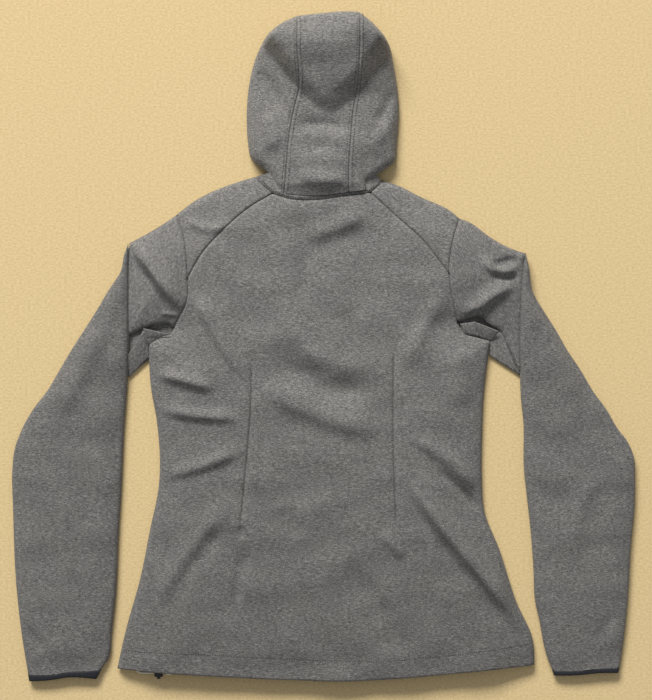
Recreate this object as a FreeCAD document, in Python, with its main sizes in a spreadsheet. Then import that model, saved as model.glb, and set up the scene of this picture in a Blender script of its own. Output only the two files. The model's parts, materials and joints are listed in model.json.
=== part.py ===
import FreeCAD, Part
import math
import os
import Sketcher

# A women's softshell jacket with a fixed hood, lying flat on its front.
# +X is to the right of someone who looks down on it, +Y goes from the hem to the hood,
# and +Z is up, away from the floor.  Lengths are in millimetres.
# The origin is on the floor, under the middle of the whole jacket.

doc = FreeCAD.newDocument("softshell_jacket")
sheet = doc.addObject("Spreadsheet::Sheet", "dims")
rows = [0]


def size(alias, value):
    """Keeps one driving dimension as a cell of the sheet, under a name."""
    rows[0] += 1
    sheet.set("A%d" % rows[0], alias)
    sheet.set("B%d" % rows[0], str(value))
    sheet.setAlias("B%d" % rows[0], alias)


def spot(alias, x, y):
    """Keeps a pattern point of the garment as two cells, NAME_x and NAME_y."""
    size(alias + "_x", x)
    size(alias + "_y", y)


# ---------------------------------------------------------------- layers, from the floor up
size("cloth", 1.5)            # thickness of the bonded softshell cloth
size("torso_high", 24)        # top of the back, from the floor
size("sleeve_high", 18)       # top of a sleeve
size("wall", 2)               # thickness of an edge where the cloth turns over
size("facing_high", 5)        # top of the turned-back edge beside a zip
size("tape_thick", 0.8)       # zip tape
size("bag_high", 9.2)         # top of a pocket bag
size("hem_deep", 28)          # from the hem edge to its topstitching
size("tunnel_low", 18)        # underside of the hem facing that makes the drawcord tunnel
size("facing_thick", 1.2)     # thickness of a hem facing

# ---------------------------------------------------------------- pattern points, torso
spot("hem_left", -283, -442)
spot("hem_mid", 0, -457.4)
spot("hem_mid_left", -140, -452)
spot("hem_mid_right", 141, -451)
spot("hem_right", 290, -437)
spot("hip_left", -262, -358)
spot("waist_left", -225, -183)
spot("flank_left", -242, -279)
spot("ribs_left", -234, -90)
spot("underarm_left", -240, 3)
spot("hip_right", 269, -364)
spot("waist_right", 216.5, -150)
spot("flank_right", 240, -279)
spot("ribs_right", 219, -60)
spot("underarm_right", 229, 6)
spot("neck_point_left", -92, 234)
spot("shoulder_left", -174, 201)
spot("cap_top_left", -203, 181)
spot("cap_mid_left", -229, 162)
spot("apex_left", -266, 140)
spot("cap_end_left", -266, 12)
spot("cap_under_left", -214, 28)
spot("neck_point_right", 80, 227)
spot("shoulder_right", 175, 184)
spot("cap_top_right", 187, 175)
spot("cap_mid_right", 227, 150)
spot("apex_right", 269, 128)
spot("cap_end_right", 269, 18)
spot("cap_under_right", 203, 36)

# seams that the back shows
spot("neck_seam_left", -94.5, 232)
spot("neck_seam_mid", -8, 200.5)
spot("neck_seam_right", 80, 226)
spot("raglan_left", -70, 209)
spot("raglan_mid_left", -139, 158)
spot("seam_meet_left", -187, 92)
spot("armhole_high_left", -192, 149)
spot("armhole_low_left", -200, 37)
spot("raglan_right", 63, 210)
spot("raglan_mid_right", 136, 144)
spot("seam_meet_right", 171, 97)
spot("armhole_high_right", 176.5, 144)
spot("armhole_low_right", 183, 35)

# sleeves, beside the torso
spot("head_left", -269.5, 140)
spot("elbow_out_left", -329, 23)
spot("bend_high_left", -398, -85)
spot("bend_mid_left", -419, -120)
spot("bend_low_left", -428, -165)
spot("forearm_out_left", -425, -290)
spot("cuff_out_left", -408, -446)
spot("cuff_end_out_left", -405, -458)
spot("cuff_end_in_left", -311, -456)
spot("cuff_in_left", -305, -446)
spot("forearm_in_left", -286, -330)
spot("elbow_in_left", -276, -130)
spot("fold_in_left", -269.5, -38)
spot("head_right", 279, 127)
spot("elbow_out_right", 334, -5)
spot("bend_high_right", 388, -87)
spot("bend_mid_right", 415, -125)
spot("bend_low_right", 428, -172)
spot("forearm_out_right", 422, -290)
spot("cuff_out_right", 408, -441.5)
spot("cuff_end_out_right", 406.5, -447)
spot("cuff_end_in_right", 316, -451)
spot("cuff_in_right", 312, -441.5)
spot("forearm_in_right", 288, -306)
spot("elbow_in_right", 274.5, -140)
spot("fold_in_right", 271.5, -42)

# gussets under the arms
spot("gusset_out_left", -268, 2)
spot("gusset_tip_left", -268.5, -34)
spot("gusset_top_left", -245, 26)
spot("gusset_out_right", 268, 2)
spot("gusset_tip_right", 269.5, -43)
spot("gusset_top_right", 243, 26)

# front, against the floor
spot("collar_low", 0, 130)
spot("collar_high", 0, 208)
size("collar_spread", 62)     # half width of the front collar at its top
size("zip_gap", 8)            # half width of the gap between the two fronts
size("facing_wide", 22)       # from the middle to the inner edge of a front facing
size("tape_wide", 14)         # from the middle to the outer edge of a zip tape
size("tooth_in", 0.9)         # from the middle to a row of teeth
size("tooth_out", 3.2)
size("tooth_low", 4.4)
size("tooth_high", 6.4)
size("zip_low", -446)
size("zip_top", 199.5)
size("slider_long", 12)
size("slider_half", 5.5)
size("slider_plate", 1)       # thickness of a slider's two plates
size("slider_low", 3.1)       # outer face of a slider, which lies towards the floor
size("play", 0.3)             # room between two pieces that move past each other
size("post_half", 0.55)       # half width of the post that joins a slider's plates
size("bail_low", 0.7)
size("bail_thick", 0.7)
size("pull_long", 30)
size("pocket_pull_long", 22)  # the hand pockets have shorter pulls
size("pull_half", 4.2)
size("pull_low", 1.9)
size("pull_thick", 0.8)
size("collar_point", 13)      # how far a front collar's upper corner stands out
size("collar_drop", 3)        # and how far that corner lies below the top
size("retainer_long", 8)      # the box at the bottom of the zip
size("stop_long", 4)          # a top stop
size("stop_proud", 0.3)       # how far stops stand out of the teeth, above and below
size("guard_low", 192)        # lower edge of the chin guard
size("guard_high", 16)        # height of the chin guard along the zip
size("lip_gap", 1)            # from the teeth to a slider's guide lips
size("post_low", 2)           # where the post starts above the slider's middle
size("bail_half", 0.8)        # half width of the bail that holds the pull
size("bail_far", 4.6)         # from the middle to the bail's lower end
size("bail_near", 3.6)        # from the middle to its upper end
size("bail_foot", 1.2)        # length of each of its feet
size("pull_start", 6.4)       # from the slider's middle to the tab of its pull
size("arm_in", 1.4)           # inner and outer edges of a pull's arms
size("arm_out", 3)
size("bar_near", 1.9)         # the crossbar that lies inside the bail
size("bar_far", 2.8)
size("hem_step_low", 4)       # how far a front hem facing stays inside the side, at the hem
size("hem_step_left", 12)     # and at its upper edge
size("hem_step_right", 14)
size("tunnel_left", 38)       # where the drawcord tunnel ends, from the side
size("tunnel_right", 45)
size("tunnel_wall", 2)        # how far the cut for the cord goes past the tunnel's ends
size("tunnel_foot", 5)        # from the hem edge to the tunnel's inside
size("tunnel_head", 4)        # from the topstitching to the tunnel's inside
size("welt_half", 15)         # half width of a hand pocket's welt
size("welt_end", 12)          # how far the welt goes on past the opening
size("pocket_tape_end", 10)   # how far the zip tape goes on past the opening
size("bag_toward", 110)       # how far a pocket bag reaches towards the front zip
size("bag_away", 20)          # and towards the side
size("bag_below", 18)
size("bag_above", 16)
size("bag_wall", 1.5)
size("bag_cloth", 1.2)
size("pocket_x", 165)         # middle of a hand pocket's zip
size("pocket_y", -235)
size("pocket_long", 176)      # length of a hand pocket's opening
size("pocket_slant", 8)       # degrees from upright
size("slot_half", 7)

# neck
size("band_wide", 3.5)        # the collar band that shows under the hood
size("neck_tape_half", 60)
size("neck_tape_low", 199)
size("neck_tape_high", 208.5)
size("loop_x", -5)            # middle of the hanger loop
size("loop_half", 27)
size("loop_low", 183)
size("loop_high", 199)
size("loop_thick", 1.8)
size("loop_leg", 8)           # width of the loop's two legs
size("loop_bar", 4)           # width of the bar between them
size("gusset_low", 6)         # underside of the gussets

# hood: each rib is its section across, at one distance along it
size("hood_wall", 2)
size("hood_seam_left", -41)
size("hood_seam_right", 42)
RIBS = (
    ("neck", 214, -74, 62, 16, 23),
    ("nape", 250, -98, 92, 26, 38),
    ("crown", 325, -106, 103, 32, 50),
    ("brow", 402, -93, 93, 26, 46),
    ("rim", 458, -44, 52, 10, 24),
)
for rib, along, left, right, side_high, middle_high in RIBS:
    size(rib + "_y", along)
    size(rib + "_left", left)
    size(rib + "_right", right)
    size(rib + "_side", side_high)
    size(rib + "_high", middle_high)

# hem drawcord and its locks
size("cord_thick", 2.5)
size("lock_x", 226.5)
size("lock_low_left_y", -452)
size("lock_low_right_y", -438)
size("lock_eye", 5)           # from a lock's lower end to the cord that passes through it
size("bead_gap", 10)          # from a lock's middle inwards to the cord's end
size("bead_long", 7)
size("cord_turn_x", 256)      # where the cord turns up into the hem's tunnel
size("cord_turn_in", 6)       # and how far before that it starts to turn
size("lock_z", 10)
size("lock_wide", 11)
size("lock_long", 15)
size("lock_tall", 8)
size("plunger_thick", 5)
size("plunger_out", 3)        # how far the plunger stands out of its lock
size("plunger_travel", 1.6)

doc.recompute()


# ---------------------------------------------------------------- building blocks
def value(alias):
    return float(sheet.get(alias))


def worked_out(formula):
    """The number that a sheet formula gives, for a first drawing of a sketch."""
    return float(sheet.evalExpression(formula))


def at(name, dx="", dy=""):
    """A pattern point as two sheet formulas, with an optional shift such as '+ dims.wall'."""
    return ("dims.%s_x %s" % (name, dx)).strip(), ("dims.%s_y %s" % (name, dy)).strip()


def chain(text, dx="", dy=""):
    """A list of pattern points; one that starts with ~ is the middle of an arc."""
    steps = []
    for name in text.split():
        steps.append((name.startswith("~"),) + at(name.lstrip("~"), dx, dy))
    return steps


def corners(*pairs):
    """Straight-sided outline from pairs of sheet formulas or numbers."""
    return [(False, str(across), str(along)) for across, along in pairs]


def box_outline(left, low, right, high):
    return corners((left, low), (right, low), (right, high), (left, high))


def draw(sketch, steps):
    """Draws a closed outline of lines and arcs and ties every point of it to the sheet."""
    place = [FreeCAD.Vector(worked_out(a), worked_out(b), 0) for _, a, b in steps]
    count = len(steps)
    ends = [i for i in range(count) if not steps[i][0]]
    pieces = []
    for k, i in enumerate(ends):
        j = ends[(k + 1) % len(ends)]
        between = (i + 1) % count
        if between != j:
            arc = Part.Arc(place[i], place[between], place[j])
            turn = (place[between] - place[i]).cross(place[j] - place[between]).z
            index = sketch.addGeometry(arc, False)
            pieces.append((index, (1, 2) if turn > 0 else (2, 1), between))
        else:
            index = sketch.addGeometry(Part.LineSegment(place[i], place[j]), False)
            pieces.append((index, (1, 2), None))
    for k, (index, order, _) in enumerate(pieces):
        after, after_order, _ = pieces[(k + 1) % len(pieces)]
        sketch.addConstraint(Sketcher.Constraint("Coincident", index, order[1], after, after_order[0]))
    for k, i in enumerate(ends):
        index, order, _ = pieces[k]
        tie(sketch, index, order[0], steps[i], place[i])
    for index, _, between in pieces:
        if between is None:
            continue
        knot = sketch.addGeometry(Part.Point(place[between]), True)
        sketch.addConstraint(Sketcher.Constraint("PointOnObject", knot, 1, index))
        tie(sketch, knot, 1, steps[between], place[between])


def tie(sketch, index, corner, step, place):
    for kind, formula, now in (("DistanceX", step[1], place.x), ("DistanceY", step[2], place.y)):
        number = sketch.addConstraint(Sketcher.Constraint(kind, -1, 1, index, corner, now))
        sketch.setExpression("Constraints[%d]" % number, formula)


def flat_sketch(body, outline, level, role="XY_Plane"):
    """A sketch on one of the body's own planes, moved to a level of the sheet."""
    plane = [f for f in body.Origin.OriginFeatures if f.Role == role][0]
    sketch = body.newObject("Sketcher::SketchObject", "outline")
    sketch.AttachmentSupport = (plane, [""])
    sketch.MapMode = "FlatFace"
    sketch.setExpression("AttachmentOffset.Base.z", str(level))
    draw(sketch, outline)
    return sketch


def new_body(label):
    body = doc.addObject("PartDesign::Body", label)
    body.Label = label
    return body


def pad(body, outline, level, thick, role="XY_Plane"):
    feature = body.newObject("PartDesign::Pad", "pad")
    feature.Profile = flat_sketch(body, outline, level, role)
    feature.setExpression("Length", str(thick))
    if role == "XZ_Plane":
        feature.Midplane = True
    return feature


def pocket(body, outline, level, deep, role="XY_Plane"):
    """Cuts from the level upwards (or both ways from an upright plane) and checks that it cut."""
    doc.recompute()
    before = body.Shape.Volume
    feature = body.newObject("PartDesign::Pocket", "pocket")
    feature.Profile = flat_sketch(body, outline, level, role)
    feature.setExpression("Length", str(deep))
    feature.Reversed = role == "XY_Plane"
    feature.Midplane = role == "XZ_Plane"
    doc.recompute()
    if body.Shape.Volume > before - 0.01:
        raise RuntimeError("the cut in %s removed nothing" % body.Label)
    return feature


def plate(label, outline, level, thick="dims.cloth"):
    body = new_body(label)
    pad(body, outline, level, thick)
    return body


def strip(label, path, dx="", dy="", level="dims.cloth", thick="dims.torso_high - 2 * dims.cloth"):
    """A wall that follows a chain of pattern points and is one shift thick."""
    return plate(label, chain(path) + chain(path, dx, dy)[::-1], level, thick)


SIDES = (("left", -1, "+ dims.wall"), ("right", 1, "- dims.wall"))
back_level = "dims.torso_high - dims.cloth"
kept = []


# ---------------------------------------------------------------- torso, upper side (the back)
back_outline = (
    "hem_left hem_mid_left hem_mid hem_mid_right hem_right hip_right flank_right ~waist_right "
    "underarm_right cap_under_right armhole_low_right seam_meet_right ~raglan_mid_right "
    "raglan_right ~neck_seam_mid raglan_left ~raglan_mid_left seam_meet_left armhole_low_left "
    "cap_under_left underarm_left ~waist_left flank_left hip_left"
)
kept.append(plate("back_panel", chain(back_outline), back_level))

for side, _, inward in SIDES:
    yoke = (
        "raglan_{0} ~raglan_mid_{0} seam_meet_{0} ~armhole_high_{0} cap_top_{0} "
        "shoulder_{0} neck_point_{0}"
    ).format(side)
    kept.append(plate("shoulder_yoke_" + side, chain(yoke), back_level))
    cap = (
        "cap_top_{0} ~armhole_high_{0} seam_meet_{0} armhole_low_{0} cap_under_{0} "
        "cap_end_{0} apex_{0} cap_mid_{0}"
    ).format(side)
    body = plate("sleeve_cap_" + side, chain(cap), back_level)
    edge = chain("apex_{0} cap_end_{0}".format(side))
    edge += chain("cap_end_{0} apex_{0}".format(side), inward)
    pad(body, edge, "dims.cloth", "dims.torso_high - 2 * dims.cloth")
    kept.append(body)

# ---------------------------------------------------------------- torso, edges
for side, _, inward in SIDES:
    flank = "hem_{0} hip_{0} flank_{0} ~waist_{0} underarm_{0}".format(side)
    kept.append(strip("side_seam_" + side, flank, inward))
    ridge = "neck_point_{0} shoulder_{0} cap_top_{0} cap_mid_{0} apex_{0}".format(side)
    lower = chain(ridge, "", "- dims.wall")[::-1]
    lower[0] = (False,) + at("apex_" + side, inward, "- dims.wall")
    upper = chain(ridge)
    upper[-1] = (False,) + at("apex_" + side, inward)
    body = plate("shoulder_seam_" + side, upper + lower, "dims.cloth",
                 "dims.torso_high - 2 * dims.cloth")
    kept.append(body)

# ---------------------------------------------------------------- torso, lower side (the front)
def mirrored(side, formula):
    """A formula for the right half, or the same distance to the left of the middle."""
    return formula if side == "right" else "-(%s)" % formula


def half_box(side, near, low, far, high):
    """A box outline between two distances from the middle line, on one side of it."""
    return box_outline(mirrored(side, near), low, mirrored(side, far), high)


def on_front(side):
    """Where a hand pocket's own frame lies: its zip runs along its Y."""
    way = 1 if side == "right" else -1
    turn = FreeCAD.Rotation(FreeCAD.Vector(0, 0, 1), way * value("pocket_slant"))
    return FreeCAD.Placement(FreeCAD.Vector(way * value("pocket_x"), value("pocket_y"), 0), turn)


half_slot = "dims.pocket_long / 2"
for side, _, inward in SIDES:
    edge = chain("hem_{0} hip_{0} flank_{0} ~waist_{0} underarm_{0}".format(side))
    edge += chain("cap_end_{0} apex_{0} cap_mid_{0} cap_top_{0} shoulder_{0} neck_point_{0}".format(side))
    edge += corners((mirrored(side, "dims.collar_spread"), "dims.collar_low_y"),
                    (mirrored(side, "dims.zip_gap"), "dims.collar_low_y"),
                    (mirrored(side, "dims.zip_gap"), "dims.hem_mid_y"))
    front = plate("front_%s_uncut" % side, edge, 0)
    slot = plate("pocket_slot_" + side,
                 box_outline("-dims.slot_half", "-" + half_slot, "dims.slot_half", half_slot),
                 -1, "dims.cloth + 2")
    slot.Placement = on_front(side)
    panel = doc.addObject("Part::Cut", "front_panel_" + side)
    panel.Label = "front_panel_" + side
    panel.Base = front
    panel.Tool = slot
    kept.append(panel)

    collar = corners((mirrored(side, "dims.zip_gap"), "dims.collar_low_y"),
                     (mirrored(side, "dims.collar_spread"), "dims.collar_low_y"))
    collar += corners((mirrored(side, "dims.collar_spread + dims.collar_point"),
                       "dims.collar_high_y - dims.collar_drop"),
                      (mirrored(side, "dims.collar_spread"), "dims.collar_high_y"),
                      (mirrored(side, "dims.zip_gap"), "dims.collar_high_y"))
    kept.append(plate("front_collar_" + side, collar, 0))
    kept.append(plate("front_facing_" + side,
                      half_box(side, "dims.zip_gap", "dims.hem_mid_y",
                               "dims.facing_wide", "dims.collar_high_y"),
                      "dims.cloth", "dims.facing_high - dims.cloth"))

    sign = "+ " if side == "left" else "- "
    turned = corners((mirrored(side, "dims.facing_wide"), "dims.hem_mid_y + 1"))
    turned += chain("hem_mid_" + side)
    turned += chain("hem_" + side, sign + "dims.hem_step_low")
    turned += chain("hem_" + side, sign + "dims.hem_step_" + side, "+ dims.hem_deep")
    turned += chain("hem_mid_" + side, "", "+ dims.hem_deep")
    turned += corners((mirrored(side, "dims.facing_wide"), "dims.hem_mid_y + dims.hem_deep"))
    kept.append(plate("front_hem_facing_" + side, turned, "dims.cloth", "dims.facing_thick"))

# ---------------------------------------------------------------- hem of the back, with its tunnel
tunnel = new_body("back_hem_facing")


def along_hem(shift, left_end, right_end, left_more="", right_more=""):
    """A line beside the hem between two ends, each end with its own extra shift."""
    line = chain("hem_left", "+ " + left_end, shift + left_more)
    line += chain("hem_mid_left hem_mid hem_mid_right", "", shift)
    return line + chain("hem_right", "- (%s)" % right_end, shift + right_more)


outside = along_hem("+ 0", "dims.tunnel_left", "dims.tunnel_right", " + 1", " - 2")
outside += along_hem("+ dims.hem_deep", "dims.tunnel_left", "dims.tunnel_right", "", " - 3")[::-1]
pad(tunnel, outside, "dims.tunnel_low", "dims.torso_high - dims.cloth - dims.tunnel_low")
# the tunnel is open at both ends, where the cord comes out
open_ends = ("dims.tunnel_left - dims.tunnel_wall", "dims.tunnel_right - dims.tunnel_wall")
channel = along_hem("+ dims.tunnel_foot", *open_ends, "", " - 2")
channel += along_hem("+ dims.hem_deep - dims.tunnel_head", *open_ends, "", " - 3")[::-1]
pocket(tunnel, channel, "dims.tunnel_low + dims.facing_thick", "dims.torso_high")
kept.append(tunnel)

# ---------------------------------------------------------------- front zip
for side, _, _ in SIDES:
    kept.append(plate("front_zip_tape_" + side,
                      half_box(side, "dims.tooth_out", "dims.zip_low",
                               "dims.tape_wide", "dims.collar_high_y - 1"),
                      "dims.facing_high", "dims.tape_thick"))
    kept.append(plate("front_zip_teeth_" + side,
                      half_box(side, "dims.tooth_in", "dims.zip_low + dims.retainer_long",
                               "dims.tooth_out", "dims.zip_top"),
                      "dims.tooth_low", "dims.tooth_high - dims.tooth_low"))

stops = doc.addObject("Part::Compound", "front_zip_top_stops")
stops.Label = "front_zip_top_stops"
stops.Links = [
    plate("top_stop_" + side,
          half_box(side, "dims.tooth_in", "dims.zip_top", "dims.tooth_out", "dims.zip_top + dims.stop_long"),
          "dims.tooth_low - dims.stop_proud",
          "dims.tooth_high - dims.tooth_low + 2 * dims.stop_proud")
    for side, _, _ in SIDES
]
kept.append(stops)
kept.append(plate("front_zip_retainer_box",
                  box_outline("-dims.tooth_out", "dims.zip_low",
                              "dims.tooth_out", "dims.zip_low + dims.retainer_long"),
                  "dims.tooth_low - 2 * dims.stop_proud",
                  "dims.tooth_high - dims.tooth_low + 4 * dims.stop_proud"))

guard = new_body("chin_guard")
pad(guard, corners(("-dims.facing_wide + 3", "dims.facing_high + dims.tape_thick"),
                   ("-dims.tape_wide + 1", "dims.facing_high + dims.tape_thick"),
                   ("-dims.tape_wide + 4", "dims.facing_high + 3.2"),
                   ("dims.tape_wide - 4", "dims.facing_high + 3.2"),
                   ("dims.tape_wide - 1", "dims.facing_high + dims.tape_thick"),
                   ("dims.facing_wide - 3", "dims.facing_high + dims.tape_thick"),
                   ("dims.facing_wide - 4", "dims.facing_high + 2"),
                   ("dims.tape_wide - 3", "dims.facing_high + 4.2"),
                   ("-dims.tape_wide + 3", "dims.facing_high + 4.2"),
                   ("-dims.facing_wide + 4", "dims.facing_high + 2")),
    "-(dims.guard_low + dims.guard_high / 2)", "dims.guard_high", "XZ_Plane")
kept.append(guard)


def build_slider(label):
    """A zip slider about its own middle: two plates, a post, four guide lips and a bail."""
    body = new_body(label)
    tip = "dims.slider_long / 2"
    pad(body, box_outline("-dims.slider_half", "-" + tip, "dims.slider_half", tip),
        "dims.slider_low", "dims.slider_plate")
    inner = "dims.tooth_high + dims.play"
    post = box_outline("-dims.post_half", "dims.post_low", "dims.post_half", tip)
    pad(body, post, "dims.slider_low + dims.slider_plate",
        "dims.tooth_high + dims.play - dims.slider_low - dims.slider_plate")
    pad(body, box_outline("-dims.slider_half", "-" + tip, "dims.slider_half", tip),
        inner, "dims.slider_plate")
    for way in ("-", ""):
        lip = box_outline(way + "(dims.tooth_out + dims.lip_gap)", "-" + tip, way + "dims.slider_half", tip)
        pad(body, lip, "dims.slider_low + dims.slider_plate",
            "dims.facing_high - dims.play - dims.slider_low - dims.slider_plate")
        pad(body, lip, "dims.facing_high + dims.tape_thick + dims.play",
            "dims.tooth_high - dims.facing_high - dims.tape_thick")
    for low, high in (("-dims.bail_far", "-dims.bail_far + dims.bail_foot"),
                      ("dims.bail_near - dims.bail_foot", "dims.bail_near")):
        pad(body, box_outline("-dims.bail_half", low, "dims.bail_half", high), "dims.bail_low",
            "dims.slider_low - dims.bail_low")
    pad(body, box_outline("-dims.bail_half", "-dims.bail_far", "dims.bail_half", "dims.bail_near"),
        "dims.bail_low", "dims.bail_thick")
    return body


def build_pull(label, long="dims.pull_long"):
    """A pull tab about the slider's middle: a crossbar inside the bail, two arms and a tab."""
    body = new_body(label)
    for left, low, right, high in (
            ("-dims.pull_half", "-dims.slider_long / 2 - " + long, "dims.pull_half", "-dims.pull_start"),
            ("-dims.arm_in", "-dims.pull_start", "-dims.arm_out", "-dims.bar_near"),
            ("dims.arm_in", "-dims.pull_start", "dims.arm_out", "-dims.bar_near"),
            ("-dims.arm_in", "-dims.bar_far", "dims.arm_in", "-dims.bar_near")):
        pad(body, box_outline(left, low, right, high), "dims.pull_low", "dims.pull_thick")
    return body


front_slider_place = FreeCAD.Placement(
    FreeCAD.Vector(0, value("zip_top") - 1 - value("slider_long") / 2, 0), FreeCAD.Rotation())
for label, build in (("front_zip_slider", build_slider), ("front_zip_pull", build_pull)):
    body = build(label)
    body.Placement = front_slider_place
    kept.append(body)

# ---------------------------------------------------------------- hand pockets
for side, way, _ in SIDES:
    place = on_front(side)
    welt = new_body("pocket_welt_" + side)
    pad(welt, box_outline("-dims.welt_half", "-%s - dims.welt_end" % half_slot,
                          "dims.welt_half", half_slot + " + dims.welt_end"),
        "dims.cloth", "dims.facing_high - dims.cloth")
    pocket(welt, box_outline("-dims.slot_half", "-" + half_slot, "dims.slot_half", half_slot),
           "dims.cloth", "dims.facing_high")
    zip_body = new_body("pocket_zip_" + side)
    pad(zip_body, box_outline("-dims.tape_wide", "-%s - dims.pocket_tape_end" % half_slot,
                              "dims.tape_wide", half_slot + " + dims.pocket_tape_end"),
        "dims.facing_high", "dims.tape_thick")
    for flip in ("-", ""):
        row = box_outline(flip + "dims.tooth_in", "-" + half_slot, flip + "dims.tooth_out", half_slot)
        pad(zip_body, row, "dims.tooth_low", "dims.tooth_high - dims.tooth_low")
    pocket(zip_body, box_outline("-dims.tooth_in", "-" + half_slot, "dims.tooth_in", half_slot),
           "dims.tooth_low - 1", 5)
    bag = new_body("pocket_bag_" + side)
    near, far = "-dims.bag_away", "dims.bag_toward"
    if side == "right":
        near, far = "-dims.bag_toward", "dims.bag_away"
    below = "-%s - dims.bag_below" % half_slot
    above = half_slot + " + dims.bag_above"
    pad(bag, box_outline(near, below, far, above), "dims.cloth", "dims.bag_high - dims.cloth")
    pocket(bag, box_outline(near + " + dims.bag_wall", below + " + dims.bag_wall",
                            far + " - dims.bag_wall", above + " - dims.bag_wall"),
           "dims.cloth", "dims.bag_high - dims.cloth - dims.bag_cloth")
    slider = build_slider("pocket_zip_slider_" + side)
    pull = build_pull("pocket_zip_pull_" + side, "dims.pocket_pull_long")
    for body in (welt, zip_body, bag):
        body.Placement = place
        kept.append(body)
    closed = FreeCAD.Placement(
        FreeCAD.Vector(0, value("pocket_long") / 2 - 1 - value("slider_long") / 2, 0), FreeCAD.Rotation())
    for body in (slider, pull):
        body.Placement = place.multiply(closed)
        kept.append(body)

# ---------------------------------------------------------------- neck
band = chain("raglan_left ~neck_seam_mid raglan_right")
band += chain("raglan_right ~neck_seam_mid raglan_left", "", "+ dims.band_wide")
kept.append(plate("back_collar", band, back_level))
tape_strip = box_outline("-dims.neck_tape_half", "dims.neck_tape_low",
                         "dims.neck_tape_half", "dims.neck_tape_high")
kept.append(plate("neck_tape", tape_strip, "dims.torso_high - dims.cloth - 1", "dims.tape_thick"))
loop = new_body("hanger_loop")
pad(loop, box_outline("dims.loop_x - dims.loop_half", "dims.loop_low",
                      "dims.loop_x + dims.loop_half", "dims.loop_high"),
    "dims.torso_high - dims.cloth - 3", "dims.loop_thick")
pocket(loop, box_outline("dims.loop_x - dims.loop_half + dims.loop_leg", "dims.loop_low + dims.loop_bar",
                         "dims.loop_x + dims.loop_half - dims.loop_leg", "dims.loop_high + 3"),
       "0", "dims.torso_high")
kept.append(loop)

# ---------------------------------------------------------------- gussets under the arms
for side, _, _ in SIDES:
    gusset = chain("gusset_top_{0} gusset_out_{0} gusset_tip_{0} underarm_{0}".format(side))
    kept.append(plate("underarm_gusset_" + side, gusset, "dims.gusset_low"))


# ---------------------------------------------------------------- hem drawcord
def cord_path(points):
    """Straight runs joined by tangent arcs, each as large as its two runs allow."""
    edges = []
    start = points[0]
    for before, corner, after in zip(points, points[1:], points[2:]):
        run_in = corner - before
        run_out = after - corner
        turn = run_in.getAngle(run_out)
        reach = 0.45 * min(run_in.Length, run_out.Length)
        radius = reach / math.tan(turn / 2)
        print("drawcord turn %.0f degrees, radius %.1f mm" % (math.degrees(turn), radius))
        leave = corner - run_in.normalize() * reach
        join = corner + run_out.normalize() * reach
        middle_way = ((leave + join) * 0.5 - corner).normalize()
        centre_far = math.hypot(radius, reach)
        middle = corner + middle_way * (centre_far - radius)
        edges.append(Part.LineSegment(start, leave).toShape())
        edges.append(Part.Arc(leave, middle, join).toShape())
        start = join
    edges.append(Part.LineSegment(start, points[-1]).toShape())
    return Part.Wire(edges)


cord_z = value("torso_high") - value("cloth") - 1.65
inner_z = value("lock_z")
left_y = value("lock_low_left_y") + value("lock_eye")
right_y = value("lock_low_right_y") + value("lock_eye")
bead_x = value("lock_x") - value("bead_gap")
turn_x = value("cord_turn_x")
bend_x = turn_x - value("cord_turn_in")
cord_points = [FreeCAD.Vector(*p) for p in (
    (-bead_x, left_y, inner_z), (-bend_x, left_y, inner_z), (-turn_x, left_y + 14, cord_z),
    (-238, left_y + 16, cord_z), (-140, -438, cord_z), (0, -444, cord_z), (141, -437, cord_z),
    (238, right_y + 11, cord_z), (turn_x, right_y + 12, cord_z),
    (turn_x, right_y, inner_z), (bead_x, right_y, inner_z))]
path = cord_path(cord_points)
ring = Part.Circle(cord_points[0], (cord_points[1] - cord_points[0]).normalize(),
                   value("cord_thick") / 2).toShape()
tube = path.makePipeShell([Part.Wire([ring])], True, True)
cord = doc.addObject("Part::Feature", "hem_drawcord")
cord.Label = "hem_drawcord"
cord.Shape = tube
expected = path.Length * math.pi * value("cord_thick") ** 2 / 4
print("drawcord length %.0f mm, volume %.3f of its section times its length"
      % (path.Length, tube.Volume / expected))
kept.append(cord)

ends = doc.addObject("Part::Compound", "hem_drawcord_ends")
ends.Label = "hem_drawcord_ends"
end_pair = []
for way, along in ((-1, left_y), (1, right_y)):
    bead = doc.addObject("Part::Cylinder", "cord_end")
    bead.setExpression("Radius", "dims.cord_thick * 1.2")
    bead.setExpression("Height", "dims.bead_long")
    bead.Placement = FreeCAD.Placement(FreeCAD.Vector(way * bead_x, along, inner_z),
                                       FreeCAD.Rotation(FreeCAD.Vector(0, 1, 0), -way * 90))
    end_pair.append(bead)
ends.Links = end_pair
kept.append(ends)


def lying(kind, label, x, y, z, axis, angle):
    """A primitive turned about one axis and put at a point."""
    piece = doc.addObject(kind, label)
    piece.Placement = FreeCAD.Placement(FreeCAD.Vector(x, y, z), FreeCAD.Rotation(axis, angle))
    return piece


def joined(kind, label, base, tool):
    """One boolean of two document objects."""
    result = doc.addObject(kind, label)
    result.Label = label
    result.Base = base
    result.Tool = tool
    return result


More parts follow.
